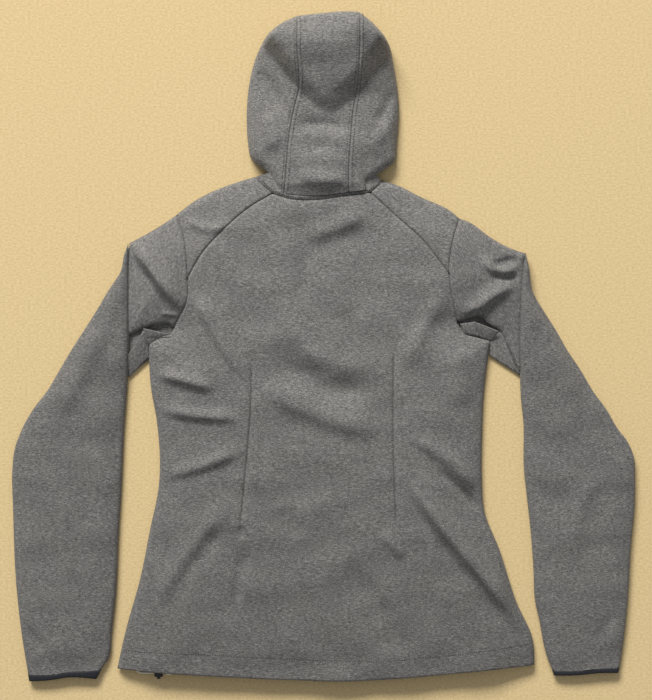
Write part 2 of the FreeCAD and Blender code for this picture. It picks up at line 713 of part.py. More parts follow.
across = FreeCAD.Vector(0, 1, 0)
along_y = FreeCAD.Vector(1, 0, 0)
for side, way, _ in SIDES:
    low_name = "dims.lock_low_%s_y" % side
    low_y = value("lock_low_%s_y" % side)
    middle = mirrored(side, "dims.lock_x")
    case = plate("lock_case_" + side,
                 box_outline(middle + " - dims.lock_wide / 2", low_name,
                             middle + " + dims.lock_wide / 2", low_name + " + dims.lock_long"),
                 "dims.lock_z - dims.lock_tall / 2", "dims.lock_tall")
    bore = lying("Part::Cylinder", "bore", way * value("lock_x"), low_y - 1, inner_z, along_y, -90)
    bore.setExpression("Radius", "dims.plunger_thick / 2 + dims.play")
    bore.setExpression("Height", "dims.lock_long - 0.5")
    eye_y = low_y + value("lock_eye")
    eye = lying("Part::Cylinder", "eye", way * value("lock_x") - 10, eye_y, inner_z, across, 90)
    eye.setExpression("Radius", "dims.cord_thick / 2 + dims.play + 0.05")
    eye.Height = 20
    kept.append(joined("Part::Cut", "cord_lock_body_" + side,
                       joined("Part::Cut", "lock_bored_" + side, case, bore), eye))
    stem = lying("Part::Cylinder", "stem", way * value("lock_x"), low_y - value("plunger_out"),
                 inner_z, along_y, -90)
    stem.setExpression("Radius", "dims.plunger_thick / 2")
    stem.setExpression("Height", "dims.plunger_out + dims.lock_long - 1.9 - dims.plunger_travel")
    slot = doc.addObject("Part::Box", "cord_slot_" + side)
    slot.Length = 12
    slot.setExpression("Width", "dims.cord_thick + 2 * dims.play + dims.plunger_travel")
    slot.setExpression("Height", "dims.cord_thick + 2 * dims.play")
    slot.Placement = FreeCAD.Placement(
        FreeCAD.Vector(way * value("lock_x") - 6,
                       eye_y - value("cord_thick") / 2 - value("play") - value("plunger_travel"),
                       inner_z - value("cord_thick") / 2 - value("play")), FreeCAD.Rotation())
    kept.append(joined("Part::Cut", "cord_lock_plunger_" + side, stem, slot))

# ---------------------------------------------------------------- sleeves
for side, _, inward in SIDES:
    outline = (
        "cuff_in_{0} forearm_in_{0} ~elbow_in_{0} fold_in_{0} head_{0} elbow_out_{0} "
        "bend_high_{0} ~bend_mid_{0} bend_low_{0} forearm_out_{0} cuff_out_{0}"
    ).format(side)
    kept.append(plate("sleeve_upper_" + side, chain(outline), "dims.sleeve_high - dims.cloth"))
    kept.append(plate("sleeve_under_" + side, chain(outline), "0"))
    away = "- dims.wall" if side == "left" else "+ dims.wall"
    wall = chain("cuff_in_{0} forearm_in_{0} ~elbow_in_{0} fold_in_{0} head_{0}".format(side))
    outer = "elbow_out_{0} bend_high_{0} ~bend_mid_{0} bend_low_{0} forearm_out_{0} cuff_out_{0}"
    wall += chain(outer.format(side))
    wall += chain(outer.format(side), inward)[::-1]
    wall += chain("head_" + side, away, "- 8")
    wall += chain("fold_in_{0} ~elbow_in_{0} forearm_in_{0} cuff_in_{0}".format(side), away)
    kept.append(plate("sleeve_edge_" + side, wall, "dims.cloth", "dims.sleeve_high - 2 * dims.cloth"))
    cuff = new_body("cuff_binding_" + side)
    pad(cuff, chain("cuff_in_{0} cuff_out_{0} cuff_end_out_{0} cuff_end_in_{0}".format(side)),
        "0", "dims.sleeve_high")
    pocket(cuff, box_outline("dims.cuff_end_in_%s_x %s" % (side, away), "dims.cloth",
                             "dims.cuff_end_out_%s_x %s" % (side, inward),
                             "dims.sleeve_high - dims.cloth"),
           "450", "60", "XZ_Plane")
    kept.append(cuff)


# ---------------------------------------------------------------- hood
def rib_sketch(body, rib, inset, push="0"):
    """A section across the hood: flat below, upright sides and an arched top."""
    left = "dims.%s_left + %s" % (rib, inset)
    right = "dims.%s_right - %s" % (rib, inset)
    low = "0" if inset == "0" else "-3"
    side_high = "dims.%s_side - %s" % (rib, inset)
    shape = [(False, left, low), (False, right, low), (False, right, side_high),
             (True, "(dims.%s_left + dims.%s_right) / 2" % (rib, rib),
              "dims.%s_high - %s" % (rib, inset)),
             (False, left, side_high)]
    return flat_sketch(body, shape, "-dims.%s_y - (%s)" % (rib, push), "XZ_Plane")


def hood_piece(label, *cuts):
    """One panel of the hood: the domed shell, less all that lies beyond its seams."""
    body = new_body(label)
    outer = [rib_sketch(body, row[0], "0") for row in RIBS]
    dome = body.newObject("PartDesign::AdditiveLoft", "dome")
    dome.Profile = outer[0]
    dome.Sections = outer[1:]
    doc.recompute()
    whole = body.Shape.Volume
    pushes = ["-4", "0", "0", "0", "-4"]
    inner = [rib_sketch(body, row[0], "dims.hood_wall", push) for row, push in zip(RIBS, pushes)]
    hollow = body.newObject("PartDesign::SubtractiveLoft", "hollow")
    hollow.Profile = inner[0]
    hollow.Sections = inner[1:]
    doc.recompute()
    if body.Shape.Volume > whole * 0.5:
        raise RuntimeError("the hood isn't hollow")
    for low_x, high_x in cuts:
        pocket(body, box_outline(low_x, "200", high_x, "470"), "-1", 60)
    return body


far_left = "dims.crown_left - 10"
far_right = "dims.crown_right + 10"
seam_left = "dims.hood_seam_left"
seam_right = "dims.hood_seam_right"
kept.append(hood_piece("hood_centre_panel", (far_left, seam_left), (seam_right, far_right)))
kept.append(hood_piece("hood_side_panel_left", (seam_left, far_right)))
kept.append(hood_piece("hood_side_panel_right", (far_left, seam_right)))

rim_in = "dims.hood_wall + 1"
rim_deep = "dims.hood_wall + 6"
binding = []
for names, edge, sign in ((RIBS, "left", "+"), (RIBS[::-1], "right", "-")):
    for row in names:
        drop = " - 7" if row[0] == "rim" else ""
        binding.append((False, "dims.%s_%s %s (%s)" % (row[0], edge, sign, rim_in),
                        "dims.%s_y%s" % (row[0], drop)))
for names, edge, sign in ((RIBS, "right", "-"), (RIBS[::-1], "left", "+")):
    for row in names:
        drop = " - 13" if row[0] == "rim" else ""
        binding.append((False, "dims.%s_%s %s (%s)" % (row[0], edge, sign, rim_deep),
                        "dims.%s_y%s" % (row[0], drop)))
kept.append(plate("hood_face_binding", binding, "0.3", "2"))

# ---------------------------------------------------------------- checks, and the files
doc.recompute()
for thing in doc.Objects:
    bad = [word for word in thing.State if word in ("Invalid", "Error")]
    if bad:
        raise RuntimeError("%s is %s" % (thing.Label, bad))
os.makedirs("parts", exist_ok=True)
for part_object in kept:
    shape = part_object.Shape
    if shape.isNull() or not shape.isValid() or shape.Volume <= 0:
        raise RuntimeError("%s has no valid solid" % part_object.Label)
    shape.exportStep("parts/%s.step" % part_object.Label)
print("%d parts written" % len(kept))
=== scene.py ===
import bpy
import json
import math
import numpy as np
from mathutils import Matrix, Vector
from mathutils.geometry import delaunay_2d_cdt


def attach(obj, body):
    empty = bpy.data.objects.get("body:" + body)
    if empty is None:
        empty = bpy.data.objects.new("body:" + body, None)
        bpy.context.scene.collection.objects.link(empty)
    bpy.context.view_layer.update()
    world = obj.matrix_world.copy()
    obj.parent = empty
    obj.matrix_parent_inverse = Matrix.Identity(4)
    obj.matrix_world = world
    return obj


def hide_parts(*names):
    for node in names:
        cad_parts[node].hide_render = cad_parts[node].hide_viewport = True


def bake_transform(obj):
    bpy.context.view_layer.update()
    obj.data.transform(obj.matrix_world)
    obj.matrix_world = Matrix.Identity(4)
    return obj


# The looks of a women's softshell jacket that lies flat on its front.
# Garment sizes are in millimetres here and become metres when a mesh is made.
# +X is right, +Y runs from the hem to the hood, +Z is up from the floor.
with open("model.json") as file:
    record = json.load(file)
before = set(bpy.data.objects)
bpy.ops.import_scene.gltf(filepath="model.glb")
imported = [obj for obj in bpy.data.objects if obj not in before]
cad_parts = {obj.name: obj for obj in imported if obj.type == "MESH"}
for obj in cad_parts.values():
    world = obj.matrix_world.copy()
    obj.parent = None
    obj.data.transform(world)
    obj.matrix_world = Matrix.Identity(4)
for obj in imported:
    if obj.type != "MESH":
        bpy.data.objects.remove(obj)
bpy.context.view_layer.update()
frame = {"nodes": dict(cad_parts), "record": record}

CLOTH = 1.2             # thickness of the softshell
SEAM_DEEP = 2.0         # how far a seam sinks into the surface
SEAM_WIDE = 1.25        # and how far to each side of it
FOLD_GAIN = 1.9         # makes every drawn fold higher by the same share
EDGE = 5.0              # radius of a folded edge, and the height of its middle
HEM_ROLL = 2.6          # half thickness of the hem with its cord tunnel
HEM_DEEP = 28.0
HOOD_STITCH = 4.2       # from a hood seam to the stitching on each side of it
TORSO_PUFF = 11.0       # how far the back rises above its rolled edges
SLEEVE_PUFF = 6.0       # and a sleeve
LOCK_RISE = 1.8         # how much the hem rises over its two cord locks
LOCK_X, LOCK_Y = 233, -438
rng = np.random.default_rng(11)


# ---------------- lines and distances
def curve(points, step=3.0):
    """A smooth line through the points, with a point about every step."""
    p = np.array(points, float)
    if len(p) == 2:
        count = max(1, round(float(np.hypot(*(p[1] - p[0]))) / step))
        return p[0] + (p[1] - p[0]) * np.linspace(0, 1, count + 1)[:, None]
    gap = np.hypot(*np.diff(p, axis=0).T)
    slope = np.diff(p, axis=0) / gap[:, None]
    lean = np.empty_like(p)
    lean[1:-1] = (slope[:-1] * gap[1:, None] + slope[1:] * gap[:-1, None]) / (gap[1:] + gap[:-1])[:, None]
    lean[0] = 1.5 * slope[0] - 0.5 * lean[1]
    lean[-1] = 1.5 * slope[-1] - 0.5 * lean[-2]
    pieces = []
    for i, far in enumerate(gap):
        t = np.linspace(0, 1, max(1, round(float(far) / step)), endpoint=False)[:, None]
        pieces.append((2 * t ** 3 - 3 * t ** 2 + 1) * p[i] + (t ** 3 - 2 * t ** 2 + t) * far * lean[i]
                      + (3 * t ** 2 - 2 * t ** 3) * p[i + 1] + (t ** 3 - t ** 2) * far * lean[i + 1])
    return np.vstack(pieces + [p[-1:]])


def chain(*lines):
    """Lines end to end as one, without doubled points."""
    every = np.vstack(lines)
    apart = np.hypot(*(every - np.roll(every, 1, axis=0)).T)
    return every[apart > 0.2]


def beside(line, far):
    """An open line moved to its left by far."""
    along = np.gradient(line, axis=0)
    along /= np.hypot(*along.T)[:, None]
    return line + far * np.column_stack([-along[:, 1], along[:, 0]])


def closed(outline):
    return np.vstack([outline, outline[:1]])


def nearest(points, line):
    """For each point: its distance to the line, how far along that is from 0 to 1, and its side."""
    long = np.concatenate([[0], np.cumsum(np.hypot(*np.diff(line, axis=0).T))])
    best = np.full(len(points), 1e9)
    share = np.zeros(len(points))
    side = np.zeros(len(points))
    for i in range(len(line) - 1):
        run = line[i + 1] - line[i]
        length2 = float(run @ run)
        off = points - line[i]
        t = np.clip(off @ run / length2, 0, 1)
        rest = off - t[:, None] * run
        d = np.hypot(rest[:, 0], rest[:, 1])
        closer = d < best
        best[closer] = d[closer]
        share[closer] = (long[i] + t[closer] * math.sqrt(length2)) / long[-1]
        side[closer] = np.sign(run[0] * off[closer, 1] - run[1] * off[closer, 0])
    return best, share, side


def away(points, line):
    """For each point: its distance to the line."""
    return nearest(points, line)[0]


def inside(points, outline):
    x, y = points[:, 0], points[:, 1]
    hit = np.zeros(len(points), bool)
    for (ax, ay), (bx, by) in zip(outline, np.roll(outline, -1, axis=0)):
        crosses = (ay > y) != (by > y)
        with np.errstate(divide="ignore", invalid="ignore"):
            hit ^= crosses & (x < (bx - ax) * (y - ay) / (by - ay) + ax)
    return hit


def smooth(t):
    t = np.clip(t, 0, 1)
    return t * t * (3 - 2 * t)


def swell(t):
    """Steep at first and level from t = 1 on, like a cushion."""
    return 1 - (1 - np.clip(t, 0, 1)) ** 2


def roll(t):
    """A quarter circle: 0 at an edge, 1 from t = 1 on."""
    return np.sqrt(swell(t))


def bell(far, wide):
    """1 where far is 0, fading away beyond wide."""
    return np.exp(-(far / wide) ** 2)


def crease(t):
    """0 at a sharp crease, 1 from t = 1 on, with a rounded top."""
    t = np.clip(t, 0, 1)
    return t * (1.6 - 0.6 * t)


def folds(points, strokes):
    """Adds up folds: each is a height, a width to the left and to the right of its way, and its way."""
    z = np.zeros(len(points))
    for high, wide_left, wide_right, way in strokes:
        path = curve(way, 8)
        reach = 3 * max(wide_left, wide_right)
        near = np.all((points > path.min(0) - reach) & (points < path.max(0) + reach), axis=1)
        if not near.any():
            continue
        d, share, side = nearest(points[near], path)
        wide = np.where(side > 0, wide_left, wide_right)
        z[near] += high * bell(d, wide) * smooth(np.minimum(share, 1 - share) / 0.3)
    return z * FOLD_GAIN


RIPPLES = [(rng.uniform(26, 90), rng.uniform(0, math.pi), rng.uniform(0, 2 * math.pi)) for _ in range(14)]


def ripple(points, strength=1.0):
    """The slight unevenness of cloth that lies loosely."""
    z = np.zeros(len(points))
    for wave, turn, start in RIPPLES:
        along = points[:, 0] * math.cos(turn) + points[:, 1] * math.sin(turn)
        across = points[:, 1] * math.cos(turn) - points[:, 0] * math.sin(turn)
        z += 0.0042 * wave * np.sin(along * 2 * math.pi / wave + start + 1.4 * np.sin(across / wave))
    return z * strength


# ---------------- pattern lines, back side up
side_left = curve([
    (-283, -442), (-271, -388), (-252, -320), (-238, -251), (-226, -190), (-229, -101), (-237, -55),
    (-240, 3)])
side_right = curve([
    (288, -437), (286, -404), (263, -350), (240, -279), (219, -224), (216, -183), (216.5, -114),
    (219, -60), (228, 8)])
hem = curve([
    (-283, -442), (-206, -448), (-136, -452), (-46, -456), (40, -457.6), (141, -451), (204, -445),
    (288, -437)])
hem_stitch_line = curve([
    (-277, -416.6), (-202, -419.6), (-126, -423), (-46, -427), (8, -429), (68, -430), (141, -425),
    (215, -416.5), (282, -407)])
underarm_left = curve([(-240, 3), (-232, 10), (-224, 14), (-211, 16)])
armhole_left = curve([(-211, 16), (-200, 37), (-188, 60), (-186.5, 92)])
armhole_left_up = curve([(-186.5, 92), (-188, 121), (-192, 149), (-202, 180)])
raglan_left = curve([(-186.5, 92), (-166, 128), (-139, 158), (-102, 190), (-70, 209)])
neck = curve([(-70, 209), (-47, 201.5), (-5, 200.5), (23, 205), (63, 210.5)])
neck_end_left = curve([(-94.5, 232), (-84, 221), (-70, 209)])
neck_end_right = curve([(63, 210.5), (72, 218), (80, 227)])
raglan_right = curve([(63, 210.5), (101, 176), (136, 144), (156, 119), (171, 99)])
armhole_right_up = curve([(171, 99), (171.5, 118), (176.5, 146), (185.5, 175)])
armhole_right = curve([(171, 99), (173, 78), (177, 60), (183.5, 33)])
underarm_right = curve([(183.5, 33), (192.5, 20), (210.5, 13.5), (228, 8)])
shoulder_left = curve([(-94.5, 232), (-115, 226), (-174, 201), (-202, 180)])
shoulder_right = curve([(80, 227), (97, 222), (131.5, 205), (175, 184), (185.5, 175)])
cap_top_left = curve([(-202, 180), (-229, 162), (-267, 141)])
cap_fold_left = curve([(-267, 141), (-270, 120), (-270.5, 14)])
cap_low_left = curve([(-270.5, 14), (-245, 25), (-230, 30), (-213, 31), (-206, 26)])
cap_top_right = curve([(185.5, 175), (197, 171), (227, 150), (247, 138), (276, 127)])
cap_fold_right = curve([(276, 127), (274, 92), (271, 20), (270, -38)])
cap_low_right = curve([
    (270, -38), (260, -18), (250, 4), (241, 21), (228, 28), (222, 33), (217, 40), (208, 40), (196, 37),
    (183.5, 33)])
dart_left = curve([(-98.6, -13), (-98.6, -61), (-103, -131), (-110, -206), (-114, -254)])
dart_right = curve([(96, 2), (95, -105), (97, -192.5), (101, -251)])

sleeve_out_left = curve([
    (-268, 141), (-274, 125), (-278, 105), (-296, 77), (-312, 50), (-329, 23), (-347, -5), (-363, -32),
    (-379.5, -60), (-400, -87), (-415, -114), (-425, -142), (-428, -169), (-427, -224), (-422, -334),
    (-414, -402), (-406, -450)])
sleeve_in_left = curve([
    (-305.5, -443), (-296, -427), (-292, -392.5), (-287, -347), (-282, -251), (-278, -183), (-275, -114),
    (-271, -60), (-268.5, -14), (-268, 60), (-268, 141)])
sleeve_out_right = curve([
    (276, 129), (281, 108), (286, 76), (301, 50), (318, 23), (334, -5), (352, -32), (368.5, -60),
    (388, -87), (404, -114), (415, -128), (426, -155), (427, -176), (426, -224), (422, -265), (417, -347),
    (413, -388), (405.5, -441)])
sleeve_in_right = curve([
    (313.5, -445), (304, -416), (296, -375), (290, -347), (288, -306), (284, -251), (279.5, -210),
    (275, -169), (274, -101), (271, -73), (269.5, -42), (269.5, 24), (272, 92), (276, 129)])
cuff_top_left = curve([(-406, -450), (-373.5, -450), (-347, -446), (-330, -445.5), (-305.5, -443)])
cuff_low_left = curve([(-404.5, -459), (-373.5, -457), (-351, -453.5), (-312, -456)])
cuff_top_right = curve([(313.5, -445), (343.5, -445), (372, -442), (405.5, -441)])
cuff_low_right = curve([(315.5, -451), (347, -450.5), (378, -447.6), (403.5, -447.6)])

hood_top = curve([(-36, 452), (0, 456), (27, 458), (48.5, 457)])
hood_right = curve([
    (48.5, 457), (70, 439), (90, 412), (95, 390), (101, 352), (103, 326), (100, 278), (99, 258)])
hood_right_low = curve([(99, 258), (96, 252), (84, 243), (68, 232), (58, 226), (58, 213.5)])
hood_left = curve([
    (-36, 452), (-63, 439), (-80, 423), (-91, 403), (-101, 370), (-105.5, 335), (-106, 300), (-104, 275),
    (-102, 262)])
hood_left_low = curve([(-102, 262), (-96, 253), (-82.5, 243), (-71, 230), (-61, 213)])
hood_low_left = curve([(-61, 213), (-54, 209)])
hood_low = curve([(-54, 209), (-45, 207.5), (-4, 206), (27, 209), (34, 210)])
hood_low_right = curve([(34, 210), (58, 213.5)])
hood_seam_left = curve([(-36, 452), (-36, 403), (-34, 352), (-41, 322), (-47, 289), (-51, 245), (-54, 209)])
hood_seam_right = curve([(48.5, 457), (48.5, 403), (45, 352), (40, 322), (37, 289), (34, 245), (34, 210)])

# ---------------- heights
TORSO_FOLDS = (
    (2.5, 14, 14, [(-60, 70), (-30, 0), (20, -25), (80, -20)]),
    (-3.5, 16, 16, [(-75, 10), (-45, -30), (10, -58), (80, -66)]),
    (3.5, 18, 13, [(-100, -40), (-40, -80), (20, -104), (85, -118)]),
    (1.5, 12, 12, [(-5, 105), (36, 36)]),
    (-1.5, 8, 8, [(-29, 132), (-26, 64)]),
    (2.5, 14, 10, [(-30, 148), (15, 160), (62, 184)]),
    (3.5, 11, 7, [(-178, 75), (-150, 20), (-112, -45)]),
    (4, 9, 6, [(-234, -36), (-180, -50), (-145, -60)]),
    (3.5, 9, 6, [(-230, -86), (-170, -95), (-108, -98)]),
    (3, 11, 7, [(-224, -178), (-170, -165), (-108, -140)]),
    (3, 14, 14, [(-120, -200), (-180, -280), (-245, -380)]),
    (-3, 14, 14, [(-136, -238), (-218, -347)]),
    (-2, 8, 8, [(-108, -272), (-122, -361)]),
    (-1.8, 7, 7, [(-112, -243), (-113, -264)]),
    (2.5, 12, 12, [(166, 84), (104, -39)]),
    (3, 20, 20, [(185, 12), (186, -92)]),
    (3.5, 12, 8, [(110, -118), (160, -150), (216, -200)]),
    (-2.5, 6, 6, [(150, -165), (190, -200), (222, -235)]),
    (7.5, 17, 8, [(104, -166), (159, -245), (227, -327), (282, -402)]),
    (2.5, 6, 6, [(75, -250), (111, -292)]),
    (-2.5, 16, 16, [(22, -292), (97, -381)]),
    (-1.5, 12, 12, [(-60, -217), (-33, -265)]),
    (2, 6, 6, [(-195, 178), (-150, 160), (-125, 172)]),
    (6, 15, 6, [(-268, 144), (-242, 112), (-217, 77), (-190, 44)]),
    (-2.5, 5, 5, [(-250, 108), (-228, 78), (-206, 46)]),
    (1.6, 2.5, 2.5, [(-226, 46), (-212, 44), (-197, 43)]),
    (2.8, 6, 6, [(224, 126), (221, 113), (230, 105), (244, 101), (266, 108)]),
    (-2.6, 6, 6, [(228, 110), (246, 115), (272, 122)]),
    (-2.4, 6, 5, [(225, 101), (244, 94), (272, 97)]),
    (5, 7, 12, [(266, 85), (240, 74), (220, 60), (208, 47), (184, 31)]),
)
torso_edge = chain(side_left, underarm_left, curve([(-211, 16), (-206, 26)]), cap_low_left[::-1],
                   cap_fold_left[::-1], cap_top_left[::-1], shoulder_left[::-1])
torso_edge_right = chain(side_right, underarm_right[::-1], cap_low_right[::-1], cap_fold_right[::-1],
                         cap_top_right[::-1], shoulder_right[::-1])


def edge_distance(points):
    return np.minimum(away(points, torso_edge), away(points, torso_edge_right))


def hem_turn(points):
    """How far the cloth has turned down at its folded hem."""
    return HEM_ROLL * (1 - roll(away(points, hem) / HEM_ROLL))


def torso_top(points):
    """Height of the back's outer face."""
    x, y = points.T
    d = edge_distance(points)
    fold = folds(points, TORSO_FOLDS) + ripple(points)
    fold += 4.0 * smooth((y - 152) / 42) * smooth((105 - np.abs(x + 5)) / 60)
    low_hem = 0.8 + 0.2 * smooth((y + 455) / 150)
    z = EDGE + EDGE * roll(d / EDGE) + TORSO_PUFF * low_hem * swell(d / 80) + fold * smooth(d / 14)
    z += LOCK_RISE * np.exp(-((np.abs(x) - LOCK_X) / 24) ** 2 - ((y - LOCK_Y) / 16) ** 2)
    z -= hem_turn(points)
    z -= 0.5 * bell(away(points, hem_stitch_line), 1.3)
    for dart in (dart_left, dart_right):
        far, share, _ = nearest(points, dart)
        depth = smooth(np.minimum(share, 1 - share) / 0.12)
        z -= (2.2 * bell(far, 1.2) + 0.9 * bell(far, 5)) * depth
    return z


def torso_low(points):
    """Height of the front's outer face, which lies on the floor."""
    return 0.2 + (EDGE - 0.2) * (1 - roll(edge_distance(points) / EDGE))


def tunnel_face(points):
    """Height of the inner face of the back's hem."""
    turn = hem_turn(points)
    return torso_top(points) + turn - 2 * HEM_ROLL + turn


SLEEVE_FOLDS = (
    (3, 16, 18, [(282, 71), (330, -32), (357, -101)]),
    (2, 12, 16, [(-285, 60), (-335, -40), (-372, -120)]),
    (-1.5, 7, 7, [(-416, -375), (-382, -423)]),
    (1.5, 14, 14, [(-395, -150), (-360, -230), (-345, -330)]),
    (1.5, 14, 14, [(395, -160), (350, -220), (340, -330)]),
    (-1.2, 9, 9, [(398, -362), (372, -408)]),
)
SLEEVE_LINES = {"left": (sleeve_out_left, sleeve_in_left, cuff_top_left, cuff_low_left),
                "right": (sleeve_out_right, sleeve_in_right, cuff_top_right[::-1], cuff_low_right)}
sleeve_edges = {side: chain(lines[0][::-1], lines[1][::-1]) for side, lines in SLEEVE_LINES.items()}
cuff_tops = {"left": cuff_top_left, "right": cuff_top_right}


def sleeve_mid(points):
    """Height of the folded edges' middle: the inner edge lies over the cap near the shoulder."""
    lifted = smooth((points[:, 1] + 70) / 90) * smooth((300 - np.abs(points[:, 0])) / 26)
    return EDGE + 5 * lifted


def sleeve_top(side, points):
    d = away(points, sleeve_edges[side])
    cuff = away(points, cuff_tops[side])
    full = 0.25 + 0.75 * smooth(cuff / 70)
    z = sleeve_mid(points) + EDGE * roll(d / EDGE) * (0.75 + 0.25 * full)
    loose = (folds(points, SLEEVE_FOLDS) + ripple(points)) * smooth(d / 12)
    z += SLEEVE_PUFF * full * swell(d / 40) + loose
    return z - 0.8 * bell(cuff - 7, 5) * np.sin(points[:, 0] * 0.9) * 0.5


def sleeve_low(side, points):
    d = away(points, sleeve_edges[side])
    mid = sleeve_mid(points)
    return 0.3 + (mid - EDGE) * 0.8 + (mid * 0.2 + EDGE * 0.8 - 0.3) * (1 - roll(d / EDGE))


hood_edge = chain(hood_left_low[::-1], hood_left[::-1], hood_top, hood_right, hood_right_low)
CROWN_LEFT = curve([(-84, 412), (-60, 381), (-33, 349), (5, 313)])
CROWN_RIGHT = curve([(5, 313), (30, 330), (54, 352), (92, 402)])
CROWN_RIDGE = curve([(-90, 414), (-36, 405), (8, 414), (47, 428), (100, 420)])
HOOD_FOLDS = (
    (-1.4, 7, 7, [(-44, 301), (0, 303), (42, 296)]),
    (1.1, 8, 8, [(-46, 285), (0, 288), (40, 282)]),
    (-0.9, 7, 7, [(-40, 266), (0, 270), (38, 262)]),
    (-1.6, 7, 7, [(96, 352), (84, 325), (70, 298)]),
    (1.6, 9, 9, [(100, 322), (84, 292), (62, 272)]),
    (-2.5, 10, 10, [(-100, 380), (-70, 350), (-62, 310)]),
    (2.0, 12, 12, [(-85, 320), (-70, 290), (-76, 262)]),
    (-1.0, 5, 5, [(50, 422), (57, 405), (66, 385)]),
    (2.0, 9, 9, [(-40, 236), (0, 226), (36, 232)]),
)


def neck_lift(y):
    """How much higher the hood's edge lies near the neck, where it is on top of the collar."""
    return 17 * smooth((268 - y) / 55)


def hood_height(points):
    """Height of the hood's outer face."""
    y = points[:, 1]
    d = away(points, hood_edge)
    lip = 3 + neck_lift(y)
    low_part = np.interp(y, (206, 222, 250, 300, 345, 400, 436, 458), (27, 35, 34, 28, 26, 30, 32, 32))
    steep = 0.35 + 0.45 * smooth((y - 385) / 40)
    left_far, _, left_side = nearest(points, CROWN_LEFT)
    right_far, _, right_side = nearest(points, CROWN_RIGHT)
    ridge_far, _, ridge_side = nearest(points, CROWN_RIDGE)
    within = crease(left_far * (left_side > 0) / 17) * crease(right_far * (right_side > 0) / 26)
    before = np.clip((y - 300) / 110, 0, 1)
    beyond = np.where(ridge_side > 0, 1 - 0.25 * smooth(ridge_far / 40), 1)
    crown = (4 + 21 * before) * within * beyond
    z = lip + (low_part + crown - lip) * (steep * roll(d / 10) + (1 - steep) * swell(d / 62))
    z += (folds(points, HOOD_FOLDS) + ripple(points, 0.8)) * smooth(d / 14)
    for seam in (hood_seam_left, hood_seam_right):
        far = away(points, seam)
        z += 0.7 * smooth((6.2 - far) / 1.6)
        z -= 0.9 * bell(far - HOOD_STITCH, 0.8)
        z += 0.25 * np.sin(y * 1.1) * bell(far, 3) * smooth((330 - y) / 60)
    return z


def with_seams(height, seams):
    """The same height, sunk along the seams."""
    def sunk(points):
        z = height(points)
        for seam in seams:
            z = z - SEAM_DEEP * bell(away(points, seam), SEAM_WIDE)
        return z
    return sunk


# ---------------- materials
def new_material(name):
    material = bpy.data.materials.new(name)
    material.use_nodes = True
    tree = material.node_tree
    shader = tree.nodes["Principled BSDF"]
    return material, tree, shader


def settings(made, **values):
    """Sets a node's sockets, or its own properties, by name."""
    for key, value in values.items():
        if key in made.inputs:
            made.inputs[key].default_value = value
        else:
            setattr(made, key, value)
    return made


def node(tree, kind, **values):
    return settings(tree.nodes.new(kind), **values)


def placed(tree, scale, turn=0.0):
    """Object coordinates, turned and then scaled."""
    where = node(tree, "ShaderNodeTexCoord")
    spin = node(tree, "ShaderNodeMapping", Rotation=(0, 0, turn))
    size = node(tree, "ShaderNodeMapping", Scale=scale)
    tree.links.new(where.outputs["Object"], spin.inputs["Vector"])
    tree.links.new(spin.outputs["Vector"], size.inputs["Vector"])
    return size.outputs["Vector"]


def noise(tree, vector, scale, detail, roughness=0.6):
    made = node(tree, "ShaderNodeTexNoise", Scale=scale, Detail=detail, Roughness=roughness)
    tree.links.new(vector, made.inputs["Vector"])
    return made.outputs["Fac"]


def ramp(tree, source, stops):
    made = node(tree, "ShaderNodeValToRGB")
    keys = made.color_ramp.elements
    while len(keys) < len(stops):
        keys.new(0.5)
    for key, (place, colour) in zip(keys, stops):
        key.position = place
        key.color = (*colour, 1)
    tree.links.new(source, made.inputs["Fac"])
    return made.outputs["Color"]


def mixed(tree, kind, share, first, second):
    made = node(tree, "ShaderNodeMix", data_type="RGBA", blend_type=kind)
    made.inputs[0].default_value = share
    tree.links.new(first, made.inputs[6])
    tree.links.new(second, made.inputs[7])
    return made.outputs[2]


def bumped(tree, shader, source, deep, strength):
    bump = node(tree, "ShaderNodeBump", Strength=strength, Distance=deep)
    tree.links.new(source, bump.inputs["Height"])
    tree.links.new(bump.outputs["Normal"], shader.inputs["Normal"])


def grey(value, warm=0.0):
    """A linear grey, a little warmer or cooler."""
    return (value * (1 + warm), value, value * (1 - warm))


